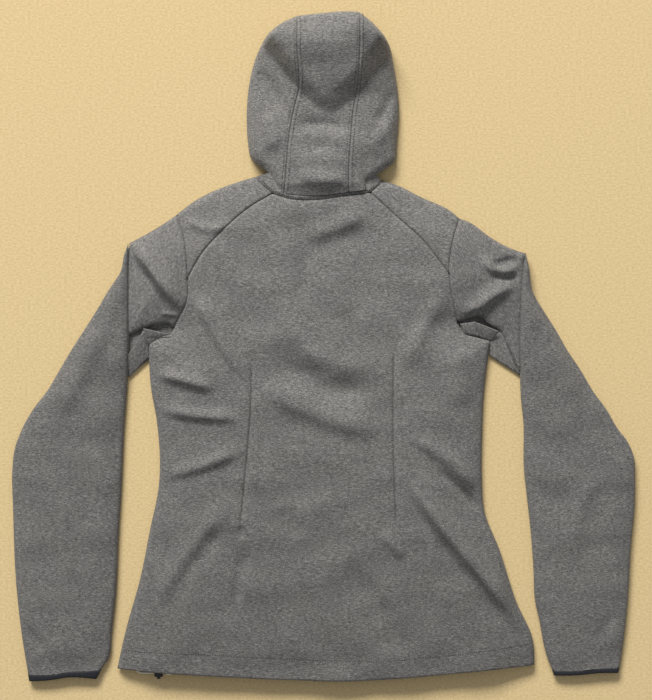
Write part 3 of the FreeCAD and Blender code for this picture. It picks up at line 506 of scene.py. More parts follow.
def heather(name, tone_with_painted_light=1.0, turn=0.0, painted_falloff=0.0):
    """Melange softshell: light and dark slubs a few millimetres long, along the cloth's weft.
    With the last argument above 0, the cloth is painted a little paler towards the hood and darker towards
    the hem: painted light, standing in for the light that falls from the top."""
    material, tree, shader = new_material(name)
    slub = noise(tree, placed(tree, (220, 860, 300), turn), 1.0, 3, 0.70)
    fine = noise(tree, placed(tree, (700, 1500, 900), turn), 1.0, 2, 0.6)
    cloud = noise(tree, placed(tree, (26, 40, 26), turn), 1.0, 2, 0.5)
    slubs = ramp(tree, slub, ((0.33, grey(0.080 * tone_with_painted_light, 0.02)), (0.50, grey(0.162 * tone_with_painted_light, 0.03)),
                              (0.67, grey(0.276 * tone_with_painted_light, 0.045))))
    threads = ramp(tree, fine, ((0.36, grey(0.56)), (0.64, grey(1.38))))
    clouds = ramp(tree, cloud, ((0.3, (0.96, 0.965, 0.98)), (0.7, (1.04, 1.035, 1.02))))
    colour = mixed(tree, "MULTIPLY", 1.0, slubs, threads)
    colour = mixed(tree, "MULTIPLY", 1.0, colour, clouds)
    # Painted light: a lightness ramp along Y, paler at the hood and darker at the hem.
    if painted_falloff:
        axes = node(tree, "ShaderNodeSeparateXYZ")
        where = node(tree, "ShaderNodeTexCoord")
        along = node(tree, "ShaderNodeMapRange", **{"From Min": -0.45, "From Max": 0.22})
        tree.links.new(where.outputs["Object"], axes.inputs["Vector"])
        tree.links.new(axes.outputs["Y"], along.inputs["Value"])
        painted_falloff_tones = ramp(tree, along.outputs["Result"], ((0.0, grey(1 - painted_falloff)), (1.0, grey(1 + painted_falloff))))
        colour = mixed(tree, "MULTIPLY", 1.0, colour, painted_falloff_tones)
    tree.links.new(colour, shader.inputs["Base Color"])
    settings(shader, **{"Roughness": 0.86, "Specular IOR Level": 0.25, "Sheen Weight": 0.12,
                        "Sheen Roughness": 0.5})
    bumped(tree, shader, fine, 0.0003, 0.5)
    return material


def woven(name, dark, light, scale, roughness=0.8, deep=0.0003):
    """A plain close weave or rib."""
    material, tree, shader = new_material(name)
    grain = noise(tree, placed(tree, scale), 1.0, 2, 0.6)
    tree.links.new(ramp(tree, grain, ((0.35, dark), (0.65, light))), shader.inputs["Base Color"])
    settings(shader, Roughness=roughness)
    bumped(tree, shader, grain, deep, 0.6)
    return material


def solid(name, dark, light, roughness, metal=0.0):
    """Moulded plastic or coated metal, with slight wear."""
    material, tree, shader = new_material(name)
    wear = noise(tree, placed(tree, (220, 220, 220)), 1.0, 4, 0.6)
    tree.links.new(ramp(tree, wear, ((0.3, dark), (0.75, light))), shader.inputs["Base Color"])
    rough = node(tree, "ShaderNodeMapRange", **{"To Min": roughness - 0.1, "To Max": roughness + 0.12})
    tree.links.new(wear, rough.inputs["Value"])
    tree.links.new(rough.outputs["Result"], shader.inputs["Roughness"])
    settings(shader, Metallic=metal)
    return material


# Each piece's tone is partly the heather's own lightness and partly painted light: the hood, yoke and caps
# are painted lighter and the sleeves darker, as the light falls from the top and a little from the left.
shell = heather("shell_heather", 1.03, 0.0, 0.15)
shell_sleeve = heather("shell_heather_sleeve", 0.96)
shell_cap_left = heather("shell_heather_cap_left", 1.12, -0.9)
shell_cap_right = heather("shell_heather_cap_right", 1.06, 0.9)
shell_yoke = heather("shell_heather_yoke", 1.14, 0.25)
shell_hood = heather("shell_heather_hood", 1.16)
inner = woven("inner_knit", grey(0.07), grey(0.13), (900, 900, 900))
thread = woven("stitch_thread", grey(0.016), grey(0.034), (2500, 2500, 2500))
binding = woven("black_rib", (0.006, 0.0065, 0.010), (0.016, 0.017, 0.024), (2200, 260, 900), 0.7, 0.0006)
tape = woven("zip_tape_weave", grey(0.012), grey(0.03), (700, 2200, 700))
# The cord is pale, and its colour is painted lighter still: painted light that offsets the shade of the hem
# over it.
cord = woven("cord_braid", (0.66, 0.60, 0.50), (0.90, 0.85, 0.76), (1500, 1500, 1500), 0.75, 0.0005)
tooth = solid("moulded_teeth", grey(0.012), grey(0.03), 0.45)
metal = solid("coated_metal", grey(0.02), grey(0.06), 0.4, 0.6)
plastic = solid("black_plastic", grey(0.008), grey(0.02), 0.42)
FINISH = {"shell_fabric": shell, "inner_fabric": inner, "black_binding": binding, "zip_tape": tape,
          "zip_teeth": tooth, "zip_metal": metal, "elastic_cord": cord, "lock_plastic": plastic}


# ---------------- meshes
def new_object(name, data):
    made = bpy.data.objects.new(name, data)
    bpy.context.scene.collection.objects.link(made)
    return made


def new_piece(name, vertices, faces, material, body="torso", replaces=()):
    mesh = bpy.data.meshes.new(name)
    mesh.from_pydata((np.asarray(vertices, float) * 0.001).tolist(), [], [list(f) for f in faces])
    mesh.polygons.foreach_set("use_smooth", [True] * len(mesh.polygons))
    mesh.materials.append(material)
    mesh.update()
    piece = new_object(name, mesh)
    if body:
        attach(piece, body)
    if replaces:
        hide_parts(*([replaces] if isinstance(replaces, str) else replaces))
    return piece


def offset(line, far):
    """A closed outline moved inwards by far."""
    along = np.roll(line, -1, axis=0) - np.roll(line, 1, axis=0)
    along /= np.maximum(np.hypot(*along.T), 1e-6)[:, None]
    return line + far * np.sign(area_inside(line)) * np.column_stack([-along[:, 1], along[:, 0]])


def area_inside(outline):
    """The area inside a closed outline, below 0 where it runs clockwise."""
    x, y = outline.T
    return float(np.sum(x * np.roll(y, -1) - y * np.roll(x, -1))) / 2


STRIP_FILL = 0.35       # an outline that fills less of its rectangle is a bent strip


def declare(outline, area):
    """Works out the size a piece was cut to, the smallest rectangle round its outline or a long strip, and
    keeps it nowhere.
    """
    best = None
    for turn in np.radians(np.arange(0, 90, 3)):
        spun = outline @ np.array([[math.cos(turn), -math.sin(turn)], [math.sin(turn), math.cos(turn)]])
        size = np.ptp(spun, axis=0)
        if best is None or size[0] * size[1] < best[0] * best[1]:
            best = size
    wide, long = sorted(best)
    if area < STRIP_FILL * wide * long:
        long = float(np.sum(np.hypot(*(outline - np.roll(outline, 1, axis=0)).T))) / 2
        wide = area / long
    wide, long = (max(math.ceil(v + 0.5) * 0.001, 0.0101) for v in (wide, long))


SEAM_ROWS = (-4.2, -2.2, -0.9, 0, 0.9, 2.2, 4.2)     # rows of points along a dart


def panel(name, outline, height, material, body="torso", replaces=(), grid=3.6, thick=CLOTH, face=1,
          rings=(0.5, 1.2, 2.4, 4.2), lines=(), holes=(), cut=1.0):
    """A piece of cloth: its outline, the height of its outer face, and its thickness behind that face.
    Cut is how much larger its pattern is than the outline seen from above."""
    points = [outline]
    guard = closed(outline)
    for far in rings:
        ring = offset(outline, far)
        keep = inside(ring, outline) & (away(ring, guard) > far * 0.9)
        for hole in holes:
            keep &= ~inside(ring, hole)
        points.append(ring[keep][:: 1 if far < 3 else 2])
    for line in lines:
        for shift in SEAM_ROWS:
            row = beside(line, shift)
            keep = inside(row, outline) & (away(row, guard) > max(rings) * 0.6)
            points.append(row[keep])
    low, high = outline.min(0), outline.max(0)
    xs = np.arange(low[0], high[0], grid)
    ys = np.arange(low[1], high[1], grid * 0.87)
    mesh_x, mesh_y = np.meshgrid(xs, ys)
    mesh_x[1::2] += grid / 2
    mesh_x = mesh_x + rng.uniform(-0.2, 0.2, mesh_x.shape) * grid
    mesh_y = mesh_y + rng.uniform(-0.2, 0.2, mesh_y.shape) * grid
    field = np.column_stack([mesh_x.ravel(), mesh_y.ravel()])
    field = field[inside(field, outline)]
    field = field[away(field, guard) > (max(rings) + grid * 0.5 if rings else grid * 0.5)]
    for line in lines:
        field = field[away(field, line) > max(SEAM_ROWS) + grid * 0.4]
    for hole in holes:
        field = field[~inside(field, hole) & (away(field, closed(hole)) > 1)]
    points.append(field)
    edges = [(i, (i + 1) % len(outline)) for i in range(len(outline))]
    flat = np.vstack(points)
    for hole in holes:
        start = len(flat)
        edges += [(start + i, start + (i + 1) % len(hole)) for i in range(len(hole))]
        flat = np.vstack([flat, hole])
    placed_at, _, triangles, *_ = delaunay_2d_cdt([Vector(p) for p in flat], edges, [], 1, 1e-3)
    spots = np.array([(p.x, p.y) for p in placed_at])
    triangles = np.array([t[:3] for t in triangles])
    for hole in holes:
        triangles = triangles[~inside(spots[triangles].mean(1), hole)]
    used = np.unique(triangles)
    renumber = np.full(len(spots), -1)
    renumber[used] = np.arange(len(used))
    spots, triangles = spots[used], renumber[triangles]
    outer = np.column_stack([spots, height(spots)])
    span = outer[triangles]
    facing = np.cross(span[:, 1] - span[:, 0], span[:, 2] - span[:, 0])
    triangles[facing[:, 2] < 0] = triangles[facing[:, 2] < 0][:, ::-1]
    facing[facing[:, 2] < 0] *= -1
    normal = np.zeros_like(outer)
    for corner in range(3):
        np.add.at(normal, triangles[:, corner], facing)
    normal /= np.linalg.norm(normal, axis=1)[:, None]
    normal *= face
    back = outer - normal * thick
    count = len(outer)
    directed = np.vstack([triangles[:, [0, 1]], triangles[:, [1, 2]], triangles[:, [2, 0]]])
    pairs = np.sort(directed, axis=1)
    _, first, times = np.unique(pairs, axis=0, return_index=True, return_counts=True)
    rim = directed[first[times == 1]]
    front_faces = triangles if face > 0 else triangles[:, ::-1]
    walls = [(b, a, a + count, b + count) if face > 0 else (a, b, b + count, a + count) for a, b in rim]
    faces = front_faces.tolist() + (front_faces[:, ::-1] + count).tolist() + walls
    piece = new_piece(name, np.vstack([outer, back]), faces, material, body, replaces)
    area = abs(area_inside(outline)) - sum(abs(area_inside(hole)) for hole in holes)
    declare(outline * cut, area * cut ** 2)
    return piece


def tube(name, path, radius, material, body="torso", replaces=(), sides=8):
    """A round strand along a line in space."""
    path = np.asarray(path, float)
    along = np.gradient(path, axis=0)
    along /= np.linalg.norm(along, axis=1)[:, None]
    up = np.tile((0.03, 0.02, 1.0), (len(path), 1))
    across = np.cross(along, up)
    across /= np.linalg.norm(across, axis=1)[:, None]
    lift = np.cross(across, along)
    vertices = []
    for k in range(sides):
        turn = 2 * math.pi * k / sides
        vertices.append(path + (math.cos(turn) * across + math.sin(turn) * lift) * radius)
    vertices = np.stack(vertices, 1).reshape(-1, 3)
    faces = []
    for i in range(len(path) - 1):
        for k in range(sides):
            a, b = i * sides + k, i * sides + (k + 1) % sides
            faces.append((b, a, a + sides, b + sides))
    faces.append(tuple(range(sides)))
    faces.append(tuple(range((len(path) - 1) * sides, len(path) * sides))[::-1])
    return new_piece(name, vertices, faces, material, body, replaces)


def stitches(name, lines, height, body="torso", pitch=3.2, long=3.0, wide=0.7, rise=0.35):
    """Rows of thread: each stitch is a small spindle that lies on the surface."""
    vertices, faces = [], []
    for path in lines:
        far = np.concatenate([[0], np.cumsum(np.hypot(*np.diff(path, axis=0).T))])
        at = np.arange(pitch, far[-1] - pitch, pitch)
        for centre in at:
            ends = np.array([centre - long / 2, centre, centre + long / 2])
            spots = np.column_stack([np.interp(ends, far, path[:, 0]), np.interp(ends, far, path[:, 1])])
            z = height(spots)
            run = spots[2] - spots[0]
            across = np.array([-run[1], run[0], 0]) / np.hypot(*run) * wide
            base = np.column_stack([spots, z + rise])
            base[0, 2] -= wide
            base[2, 2] -= wide
            start = len(vertices)
            vertices += [base[0], base[1] + across, base[1] + (0, 0, wide), base[1] - across,
                         base[1] - (0, 0, wide), base[2]]
            for a, b in ((1, 2), (2, 3), (3, 4), (4, 1)):
                faces.append((start, start + b, start + a))
                faces.append((start + 5, start + a, start + b))
    return new_piece(name, vertices, faces, thread, body)


def patch(name, quads, material, count=12, bulge=0.6):
    """Cloth facets, each from four corners in order round it, as one piece."""
    vertices, faces = [], []
    for a, b, c, d in quads:
        a, b, c, d = (np.array(p, float) for p in (a, b, c, d))
        start = len(vertices)
        for j in range(count + 1):
            for i in range(count + 1):
                s, t = i / count, j / count
                spot = (1 - t) * ((1 - s) * a + s * b) + t * ((1 - s) * d + s * c)
                spot[2] += bulge * 16 * s * (1 - s) * t * (1 - t)
                vertices.append(spot)
        for j in range(count):
            for i in range(count):
                k = start + j * (count + 1) + i
                faces.append((k, k + 1, k + count + 2, k + count + 1))
    piece = new_piece(name, vertices, faces, material, None)
    thicken = piece.modifiers.new("cloth", "SOLIDIFY")
    thicken.thickness = CLOTH * 0.001
    thicken.offset = -1
    bpy.context.view_layer.update()
    graph = bpy.context.evaluated_depsgraph_get()
    solid_mesh = bpy.data.meshes.new_from_object(piece.evaluated_get(graph))
    piece.modifiers.clear()
    piece.data = solid_mesh
    return piece


# ---------------- torso, the back
back_outline = chain(hem, side_right, underarm_right[::-1], armhole_right[::-1], raglan_right[::-1],
                     neck[::-1], raglan_left[::-1], armhole_left[::-1], underarm_left[::-1],
                     side_left[::-1])
seams = (raglan_left, raglan_right, armhole_left, armhole_right, armhole_left_up, armhole_right_up,
         underarm_left, underarm_right, neck, neck_end_left, neck_end_right)
back_height = with_seams(torso_top, seams)
panel("cloth_back", back_outline, back_height, shell, replaces="back_panel", grid=3.8,
      lines=(dart_left, dart_right))
for side, raglan, armhole_up, shoulder, neck_end in (
        ("left", raglan_left, armhole_left_up, shoulder_left, neck_end_left),
        ("right", raglan_right[::-1], armhole_right_up, shoulder_right, neck_end_right[::-1])):
    outline = chain(raglan, neck_end[::-1], shoulder, armhole_up[::-1])
    panel("cloth_yoke_" + side, outline, back_height, shell_yoke, replaces="shoulder_yoke_" + side)
panel("cloth_cap_left", chain(armhole_left_up, cap_top_left, cap_fold_left, cap_low_left,
                              curve([(-206, 26), (-200, 37)]), armhole_left[8:]),
      back_height, shell_cap_left, replaces="sleeve_cap_left", grid=2.6)
panel("cloth_cap_right", chain(armhole_right_up, cap_top_right, cap_fold_right, cap_low_right,
                               armhole_right[::-1]),
      back_height, shell_cap_right, replaces="sleeve_cap_right", grid=2.6)

# ---------------- sleeves
for side in ("left", "right"):
    out_line, in_line, cuff_line, _ = SLEEVE_LINES[side]
    outline = chain(out_line, cuff_line, in_line)
    top = lambda points, side=side: sleeve_top(side, points)
    low = lambda points, side=side: sleeve_low(side, points)
    body = "sleeve_" + side
    panel("cloth_sleeve_upper_" + side, outline, top, shell_sleeve, body, "sleeve_upper_" + side, grid=3.8)
    panel("cloth_sleeve_under_" + side, outline, low, shell_sleeve, body, "sleeve_under_" + side,
          grid=8, face=-1)

# ---------------- torso, the edges
def on(height, line, rise=0.0):
    """A line in space that follows a surface."""
    return np.column_stack([line, height(line) + rise])


def level(z):
    return lambda points: np.full(len(points), float(z))


def rectangle(one_x, low, other_x, high, step=6.0):
    left, right = sorted((one_x, other_x))
    corner = [(left, low), (right, low), (right, high), (left, high), (left, low)]
    return chain(*[curve([a, b], step) for a, b in zip(corner, corner[1:])])


for side, flank, shoulder, cap_top in (("left", side_left, shoulder_left, cap_top_left),
                                       ("right", side_right, shoulder_right, cap_top_right)):
    tube("seam_bead_side_" + side, on(level(EDGE), flank), 0.7, shell, replaces="side_seam_" + side)
    tube("seam_bead_shoulder_" + side, on(level(EDGE), chain(shoulder, cap_top)), 0.7, shell,
         replaces="shoulder_seam_" + side)

collar_top = curve([(80, 227), (62, 240), (0, 226), (-50, 240), (-94.5, 232)])
collar_seams = with_seams(lambda points: torso_top(points) + 0.5, (neck_end_left, neck, neck_end_right))
panel("cloth_back_collar", chain(neck_end_left, neck, neck_end_right, collar_top), collar_seams, shell,
      replaces="back_collar", grid=2.6)
neck_mid = curve([(-60, 206), (-5, 204.5), (60, 211)])
panel("woven_neck_tape", chain(neck_mid, beside(neck_mid, 9)[::-1]),
      lambda points: torso_top(points) - 2.2, inner, replaces="neck_tape", thick=0.6, grid=6,
      rings=(1.5,))
loop_line = curve([(-29, 206), (-27, 192), (-20, 188.5), (9, 188.5), (17, 192), (19, 206)])
tube("loop_hanger", on(torso_top, loop_line, -4.2), 1.3, inner, replaces="hanger_loop")

hem_line = hem[np.abs(hem[:, 0]) < 245]
panel("facing_back_hem", chain(hem_line, beside(hem_line, HEM_DEEP)[::-1]), tunnel_face, inner,
      replaces="back_hem_facing", grid=6, face=-1, rings=(0.6, 1.6, 3))
cord_run = beside(hem, 7)[10:-10]
cord_run = cord_run[(cord_run[:, 0] > -240) & (cord_run[:, 0] < 238)]
held = on(torso_top, cord_run, -HEM_ROLL)
LOCK_Z = 10.0            # height of the cord where it passes through a lock
LOCK_EYES = {"left": -447.0, "right": -433.0}
TUNNEL_Y = -437.0        # where the cord enters its tunnel
CORD_END = 216.5
cord_points = []
for way, side in ((-1, "left"), (1, "right")):
    eye_y = LOCK_EYES[side]
    bend = [(way * x, eye_y, LOCK_Z) for x in (CORD_END, 232, 246, 252)]
    bend += [(way * 258, (eye_y + TUNNEL_Y) / 2, LOCK_Z + 0.8), (way * 254, TUNNEL_Y, LOCK_Z + 3.2)]
    cord_points.append(np.array(bend))


def space_curve(points):
    """A smooth line in space, as straight runs whose corners are cut four times."""
    p = np.asarray(points, float)
    for _ in range(4):
        cut = np.empty((2 * len(p) - 2, 3))
        cut[0::2] = 0.75 * p[:-1] + 0.25 * p[1:]
        cut[1::2] = 0.25 * p[:-1] + 0.75 * p[1:]
        p = np.vstack([p[:1], cut, p[-1:]])
    return p[np.concatenate([[True], np.linalg.norm(np.diff(p, axis=0), axis=1) > 1e-4])]


drawcord_path = space_curve(np.vstack([cord_points[0], held[4:-4:12], cord_points[1][::-1]]))
tube("cord_hem_draw", drawcord_path, 1.25, cord, replaces="hem_drawcord", sides=10)
drawcord_long = float(np.sum(np.linalg.norm(np.diff(drawcord_path, axis=0), axis=1)))
print("drawcord length in mm:", round(drawcord_long))

# ---------------- torso, the front
ZIP_GAP, FACING_WIDE, TAPE_IN, TAPE_WIDE = 8.0, 22.0, 3.2, 14.0
ZIP_LOW, ZIP_HIGH, FACING_LOW = -459.5, 207.0, -456
COLLAR_SPREAD, COLLAR_LOW, COLLAR_HIGH = 62.0, 130.0, 208.0
POCKET_X, POCKET_Y, POCKET_LONG, POCKET_SLANT = 165.0, -235.0, 176.0, math.radians(8)
left_half = hem[hem[:, 0] < -ZIP_GAP]
right_half = hem[hem[:, 0] > ZIP_GAP]
front_ways = {
    "left": chain(left_half, curve([(-ZIP_GAP, -457), (-ZIP_GAP, COLLAR_LOW)], 8),
                  curve([(-ZIP_GAP, COLLAR_LOW), (-COLLAR_SPREAD, COLLAR_LOW)], 8),
                  curve([(-COLLAR_SPREAD, COLLAR_LOW), (-94.5, 232)], 6), shoulder_left, cap_top_left,
                  cap_fold_left, curve([(-270.5, 14), (-240, 3)]), side_left[::-1]),
    "right": chain(right_half, side_right, curve([(228, 8), (241, 16), (270, -38)]), cap_fold_right[::-1],
                   cap_top_right[::-1], shoulder_right[::-1],
                   curve([(80, 227), (COLLAR_SPREAD, COLLAR_LOW)], 6),
                   curve([(COLLAR_SPREAD, COLLAR_LOW), (ZIP_GAP, COLLAR_LOW)], 8),
                   curve([(ZIP_GAP, COLLAR_LOW), (ZIP_GAP, -457)], 8))}


BOX_FACES = ((0, 3, 2, 1), (4, 5, 6, 7), (0, 1, 5, 4), (1, 2, 6, 5), (2, 3, 7, 6), (3, 0, 4, 7))


def teeth(name, rows, body="torso", replaces=(), placed_by=None):
    """Rows of moulded zip teeth: each row is where it starts, its two sides and its length."""
    vertices, faces = [], []
    pitch, deep, tall = 2.0, 1.2, 2.0
    for inner_x, outer_x, low_y, high_y, low_z in rows:
        for k in range(int((high_y - low_y) / pitch)):
            y = low_y + (k + (0.5 if outer_x > 0 else 0.0)) * pitch
            start = len(vertices)
            for z in (low_z, low_z + tall):
                vertices += [(inner_x, y, z), (outer_x, y, z),
                             (outer_x, y + deep, z), (inner_x, y + deep, z)]
            faces += [tuple(start + corner for corner in face) for face in BOX_FACES]
    if placed_by is not None:
        vertices = placed_by(np.array(vertices, float))
    return new_piece(name, vertices, faces, tooth, body, replaces)


def pocket_frame(way):
    """Puts points given along a hand pocket's own zip into the garment."""
    turn = way * POCKET_SLANT
    spin = np.array([[math.cos(turn), -math.sin(turn)], [math.sin(turn), math.cos(turn)]])

    def put(points):
        points = np.asarray(points, float)
        at = points[:, :2] @ spin.T + (way * POCKET_X, POCKET_Y)
        return at if points.shape[1] == 2 else np.column_stack([at, points[:, 2]])
    return put


for side, way in (("left", -1), ("right", 1)):
    put = pocket_frame(way)
    half = POCKET_LONG / 2
    slot_hole = put(rectangle(-7, -half, 7, half))
    panel("cloth_front_" + side, front_ways[side], torso_low, shell, replaces="front_panel_" + side,
          grid=10, thick=1.4, face=-1, rings=(0.8, 2, 4), holes=(slot_hole,))
    zip_low, zip_high = (way * ZIP_GAP, COLLAR_LOW), (way * ZIP_GAP, COLLAR_HIGH)
    end_low, end_high = (way * COLLAR_SPREAD, COLLAR_LOW), (way * COLLAR_SPREAD, COLLAR_HIGH)
    collar_outline = chain(curve([zip_low, end_low], 6), curve([end_low, (way * 74, 203), end_high], 6),
                           curve([end_high, zip_high], 6), curve([zip_high, zip_low], 6))
    panel("cloth_front_collar_" + side, collar_outline, level(0.3), shell, replaces="front_collar_" + side,
          grid=7, face=-1, rings=(2,))
    facing = rectangle(way * ZIP_GAP, FACING_LOW, way * FACING_WIDE, COLLAR_HIGH)
    panel("facing_front_" + side, facing, level(1.9), inner,
          replaces="front_facing_" + side, grid=7, thick=2.8, face=-1, rings=(1,))
    zip_tape = rectangle(way * TAPE_IN, ZIP_LOW, way * TAPE_WIDE, ZIP_HIGH)
    panel("tape_front_zip_" + side, zip_tape, level(5.0), tape,
          replaces="front_zip_tape_" + side, grid=7, thick=0.8, face=-1, rings=(1,))
    teeth("teeth_front_" + side, [(way * 0.9, way * 3.2, -438, 199.5, 4.4)],
          replaces="front_zip_teeth_" + side)
    run = hem[(hem[:, 0] * way > FACING_WIDE + 2) & (hem[:, 0] * way < 268)]
    panel("facing_front_hem_" + side, chain(run, beside(run, HEM_DEEP)[::-1]), level(1.8), inner,
          replaces="front_hem_facing_" + side, grid=8, thick=1.0, face=-1, rings=(1.5,))
    panel("cloth_welt_" + side, put(rectangle(-15, -half - 12, 15, half + 12)), level(1.7), shell,
          replaces="pocket_welt_" + side, grid=7, thick=3.0, face=-1, rings=(1.2,), holes=(slot_hole,))
    panel("tape_pocket_zip_" + side, put(rectangle(-14, -half - 10, 14, half + 10)), level(5.0), tape,
          replaces="pocket_zip_" + side, grid=7, thick=0.8, face=-1, rings=(1.2,),
          holes=(put(rectangle(-3.2, -half, 3.2, half)),))
    teeth("teeth_pocket_" + side, [(-0.9, -3.2, -half, half, 4.4), (0.9, 3.2, -half, half, 4.4)],
          placed_by=put)
    bag_outline = put(rectangle(-way * 110.0, -half - 18, way * 20.0, half + 16))
    bag_rim = closed(bag_outline)
    panel("cloth_pocket_bag_" + side, bag_outline,
          lambda points, rim=bag_rim: 2.6 + 6.2 * roll(away(points, rim) / 7), inner,
          replaces="pocket_bag_" + side, grid=8, thick=0.9, rings=(0.8, 2, 4, 7))
GUARD_HALF = 19
panel("cloth_chin_guard", rectangle(-GUARD_HALF, 192, GUARD_HALF, 208, 3),
      lambda points: 6.9 + 1.9 * smooth((GUARD_HALF - np.abs(points[:, 0])) / 8),
      inner, replaces="chin_guard", grid=3, thick=1.0, rings=(1.2,))

# ---------------- under the arms
gusset_left = patch("cloth_gusset_left", (
    ((-247, 25, 13.5), (-211, 17, 12.0), (-226, 13, 9.5), (-246, 10, 9.0)),
    ((-246, 10, 9.0), (-226, 13, 9.5), (-236, 5, 6.0), (-241, 0, 4.6)),
    ((-247.5, 22, 12.5), (-238, -12, 3.6), (-268, -42, 2.4), (-270, -14, 8.5)),
    ((-247, 12, 5.0), (-236, 6, 3.6), (-234, -16, 2.6), (-244, -14, 2.6)),
    ((-273, 20, 3.4), (-246, 24, 3.6), (-238, -16, 1.8), (-272, -43, 1.8))), shell_cap_left)
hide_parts("underarm_gusset_left")
gusset_right = patch("cloth_gusset_right", (
    ((186, 31, 12.5), (206, 34, 13.0), (213, 14, 8.5), (193, 19, 10.0)),
    ((206, 34, 13.0), (240, 21, 11.5), (229, 8, 5.0), (213, 14, 8.5)),
    ((229, 14, 4.6), (248, 24, 6.0), (273, -42, 2.4), (227, -12, 3.0))), shell_cap_right)
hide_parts("underarm_gusset_right")
for side, way, piece, edge_x, top_y in (("left", -1, gusset_left, -268, 138),
                                        ("right", 1, gusset_right, 269.5, 124)):
    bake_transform(piece)
    web = patch("cloth_pleat_" + side, (
        ((edge_x - way * 3, top_y, 4.6), (edge_x + way * 3, top_y - 5, 4.6),
         (edge_x + way * 26, -38, 2.6), (edge_x - way * 3, -38, 2.6)),), shell_sleeve, count=30, bulge=0)
    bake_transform(web)

# ---------------- sleeves, their edges and cuffs
CUFF_RIBS = 46
CUFF_HALF = 4.9         # half the thickness of the flat cuff
CUFF_MIDDLE = 5.4       # the height of its middle
SEAM_END = 4            # points left off at each end of a sleeve's edge


def along(line, share):
    """The place at a share of the way along a line, by its points."""
    return np.array([np.interp(share, np.linspace(0, 1, len(line)), line[:, i]) for i in (0, 1)])


def cuff_band(side):
    """The elastic binding round a sleeve's end: a flat ring with small gathers."""
    top_line, end_line = (line if line[0, 0] < line[-1, 0] else line[::-1]
                          for line in SLEEVE_LINES[side][2:])
    around, rows, wall = 184, 5, 1.5
    vertices = []
    for shell_in in (0.0, wall):
        for j in range(rows):
            share = j / (rows - 1)
            full = 1 + 0.05 * math.sin(math.pi * share)
            for k in range(around):
                turn = 2 * math.pi * k / around
                across, up = math.cos(turn), math.sin(turn)
                s = 0.5 + 0.5 * np.sign(across) * abs(across) ** 0.7
                first, last = along(top_line, s), along(end_line, s)
                x, y = first + (last - first) * share
                rib = 0.22 * math.sin(CUFF_RIBS * turn)
                half = CUFF_HALF * full + rib - shell_in
                x += (-shell_in if s > 0.5 else shell_in) * abs(across)
                vertices.append((x, y, CUFF_MIDDLE + half * np.sign(up) * abs(up) ** 0.35))
    faces = []
    block = rows * around
    for j in range(rows - 1):
        for k in range(around):
            a, b = j * around + k, j * around + (k + 1) % around
            faces.append((a, b, b + around, a + around))
            faces.append((b + block, a + block, a + around + block, b + around + block))
    for j, flip in ((0, False), (rows - 1, True)):
        for k in range(around):
            a, b = j * around + k, j * around + (k + 1) % around
            ring = (a, a + block, b + block, b)
            faces.append(ring[::-1] if flip else ring)
    return new_piece("binding_cuff_" + side, vertices, faces, binding, "sleeve_" + side,
                     "cuff_binding_" + side)


for side in ("left", "right"):
    band = cuff_band(side)
    in_line = SLEEVE_LINES[side][1]
    tube("seam_bead_sleeve_" + side, on(sleeve_mid, in_line[SEAM_END:-SEAM_END]), 0.6, shell_sleeve,
         "sleeve_" + side, "sleeve_edge_" + side)

# ---------------- hood
hood_seams = (hood_seam_left, hood_seam_right)
HOOD_RINGS = (0.5, 1.2, 2.4, 3.4, HOOD_STITCH, 5.0)
hood_top_face = with_seams(hood_height, hood_seams)
for place, node_name, cut, lines_round in (
        ("centre", "hood_centre_panel", 1.1,
         (hood_top, hood_seam_right, hood_low[::-1], hood_seam_left[::-1])),
        ("left", "hood_side_panel_left", 1.18,
         (hood_left_low[::-1], hood_left[::-1], hood_seam_left, hood_low_left[::-1])),
        ("right", "hood_side_panel_right", 1.18,
         (hood_right, hood_right_low, hood_low_right[::-1], hood_seam_right[::-1]))):
    panel("cloth_hood_" + place, chain(*lines_round), hood_top_face, shell_hood, "hood", node_name,
          grid=2.6, rings=HOOD_RINGS, cut=cut)

hood_rim = chain(hood_left[::-1], hood_top, hood_right)


def hood_lip(points):
    """Height of the underside of the hood's turned edge."""
    return 1.2 + neck_lift(points[:, 1])


panel("binding_hood_face", chain(beside(hood_rim, -1.2), beside(hood_rim, -8.5)[::-1]), hood_lip, binding,
      "hood", "hood_face_binding", grid=4, thick=1.5, face=-1, rings=(1, 2.2))

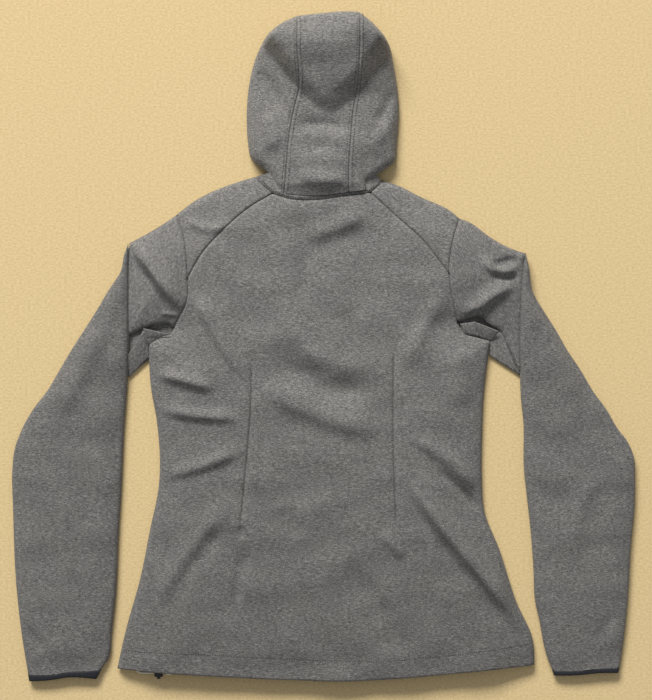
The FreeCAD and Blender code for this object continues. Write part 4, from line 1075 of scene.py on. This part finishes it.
# ---------------- stitching
stitches("stitch_hem", (hem_stitch_line,), torso_top)
stitches("stitch_hood", [beside(seam, far) for seam in hood_seams for far in (-HOOD_STITCH, HOOD_STITCH)],
         hood_height, "hood")
stitches("stitch_collar", (beside(chain(neck_end_left[3:], neck, neck_end_right[:-3]), 3.2),),
         collar_seams)

# ---------------- the CAD parts that show
for name, part in frame["nodes"].items():
    slot_name = next(s["material_slot"] for s in frame["record"]["subparts"] if s["node"] == name)
    part.data.materials.clear()
    part.data.materials.append(FINISH[slot_name])

# ---------------- floor, light and camera
scene = bpy.context.scene
floor_mesh = bpy.data.meshes.new("floor")
FLOOR = 15.0
floor_mesh.from_pydata([(-FLOOR, -FLOOR, 0), (FLOOR, -FLOOR, 0), (FLOOR, FLOOR, 0), (-FLOOR, FLOOR, 0)],
                       [], [(0, 1, 2, 3)])
floor = new_object("floor", floor_mesh)
floor_finish, floor_tree, floor_shader = new_material("pale_floor")
pile = noise(floor_tree, placed(floor_tree, (260, 420, 260)), 1.0, 3)
floor_tree.links.new(ramp(floor_tree, pile, ((0.3, (0.66, 0.50, 0.25)), (0.7, (0.86, 0.66, 0.36)))),
                     floor_shader.inputs["Base Color"])
settings(floor_shader, Roughness=0.95)
floor_mesh.materials.append(floor_finish)

window = bpy.data.lights.new("window", "AREA")
window.shape = "RECTANGLE"
window.size, window.size_y = 5.4, 2.7
window.energy = 1260     # far off, so that the floor is lit evenly
window.color = (1.0, 0.985, 0.95)
lamp = new_object("window", window)
lamp.location = (-2.5, 7.95, 4.95)
lamp.rotation_euler = (Vector((0, 0, 0)) - lamp.location).to_track_quat("-Z", "Y").to_euler()
world = bpy.data.worlds.new("room")
world.use_nodes = True
settings(world.node_tree.nodes["Background"], Color=(0.96, 0.98, 1.0, 1), Strength=0.31)
scene.world = world

CAMERA_HIGH = 2.4
PICTURE_TALL = 0.959
camera_data = bpy.data.cameras.new("camera")
camera_data.sensor_fit = "VERTICAL"
camera_data.sensor_height = 24
camera_data.lens = 24 * (CAMERA_HIGH - 0.01) / PICTURE_TALL
camera = new_object("camera", camera_data)
camera.location = (0.0027, -0.0048, CAMERA_HIGH)
scene.camera = camera
scene.view_settings.view_transform = "Standard"
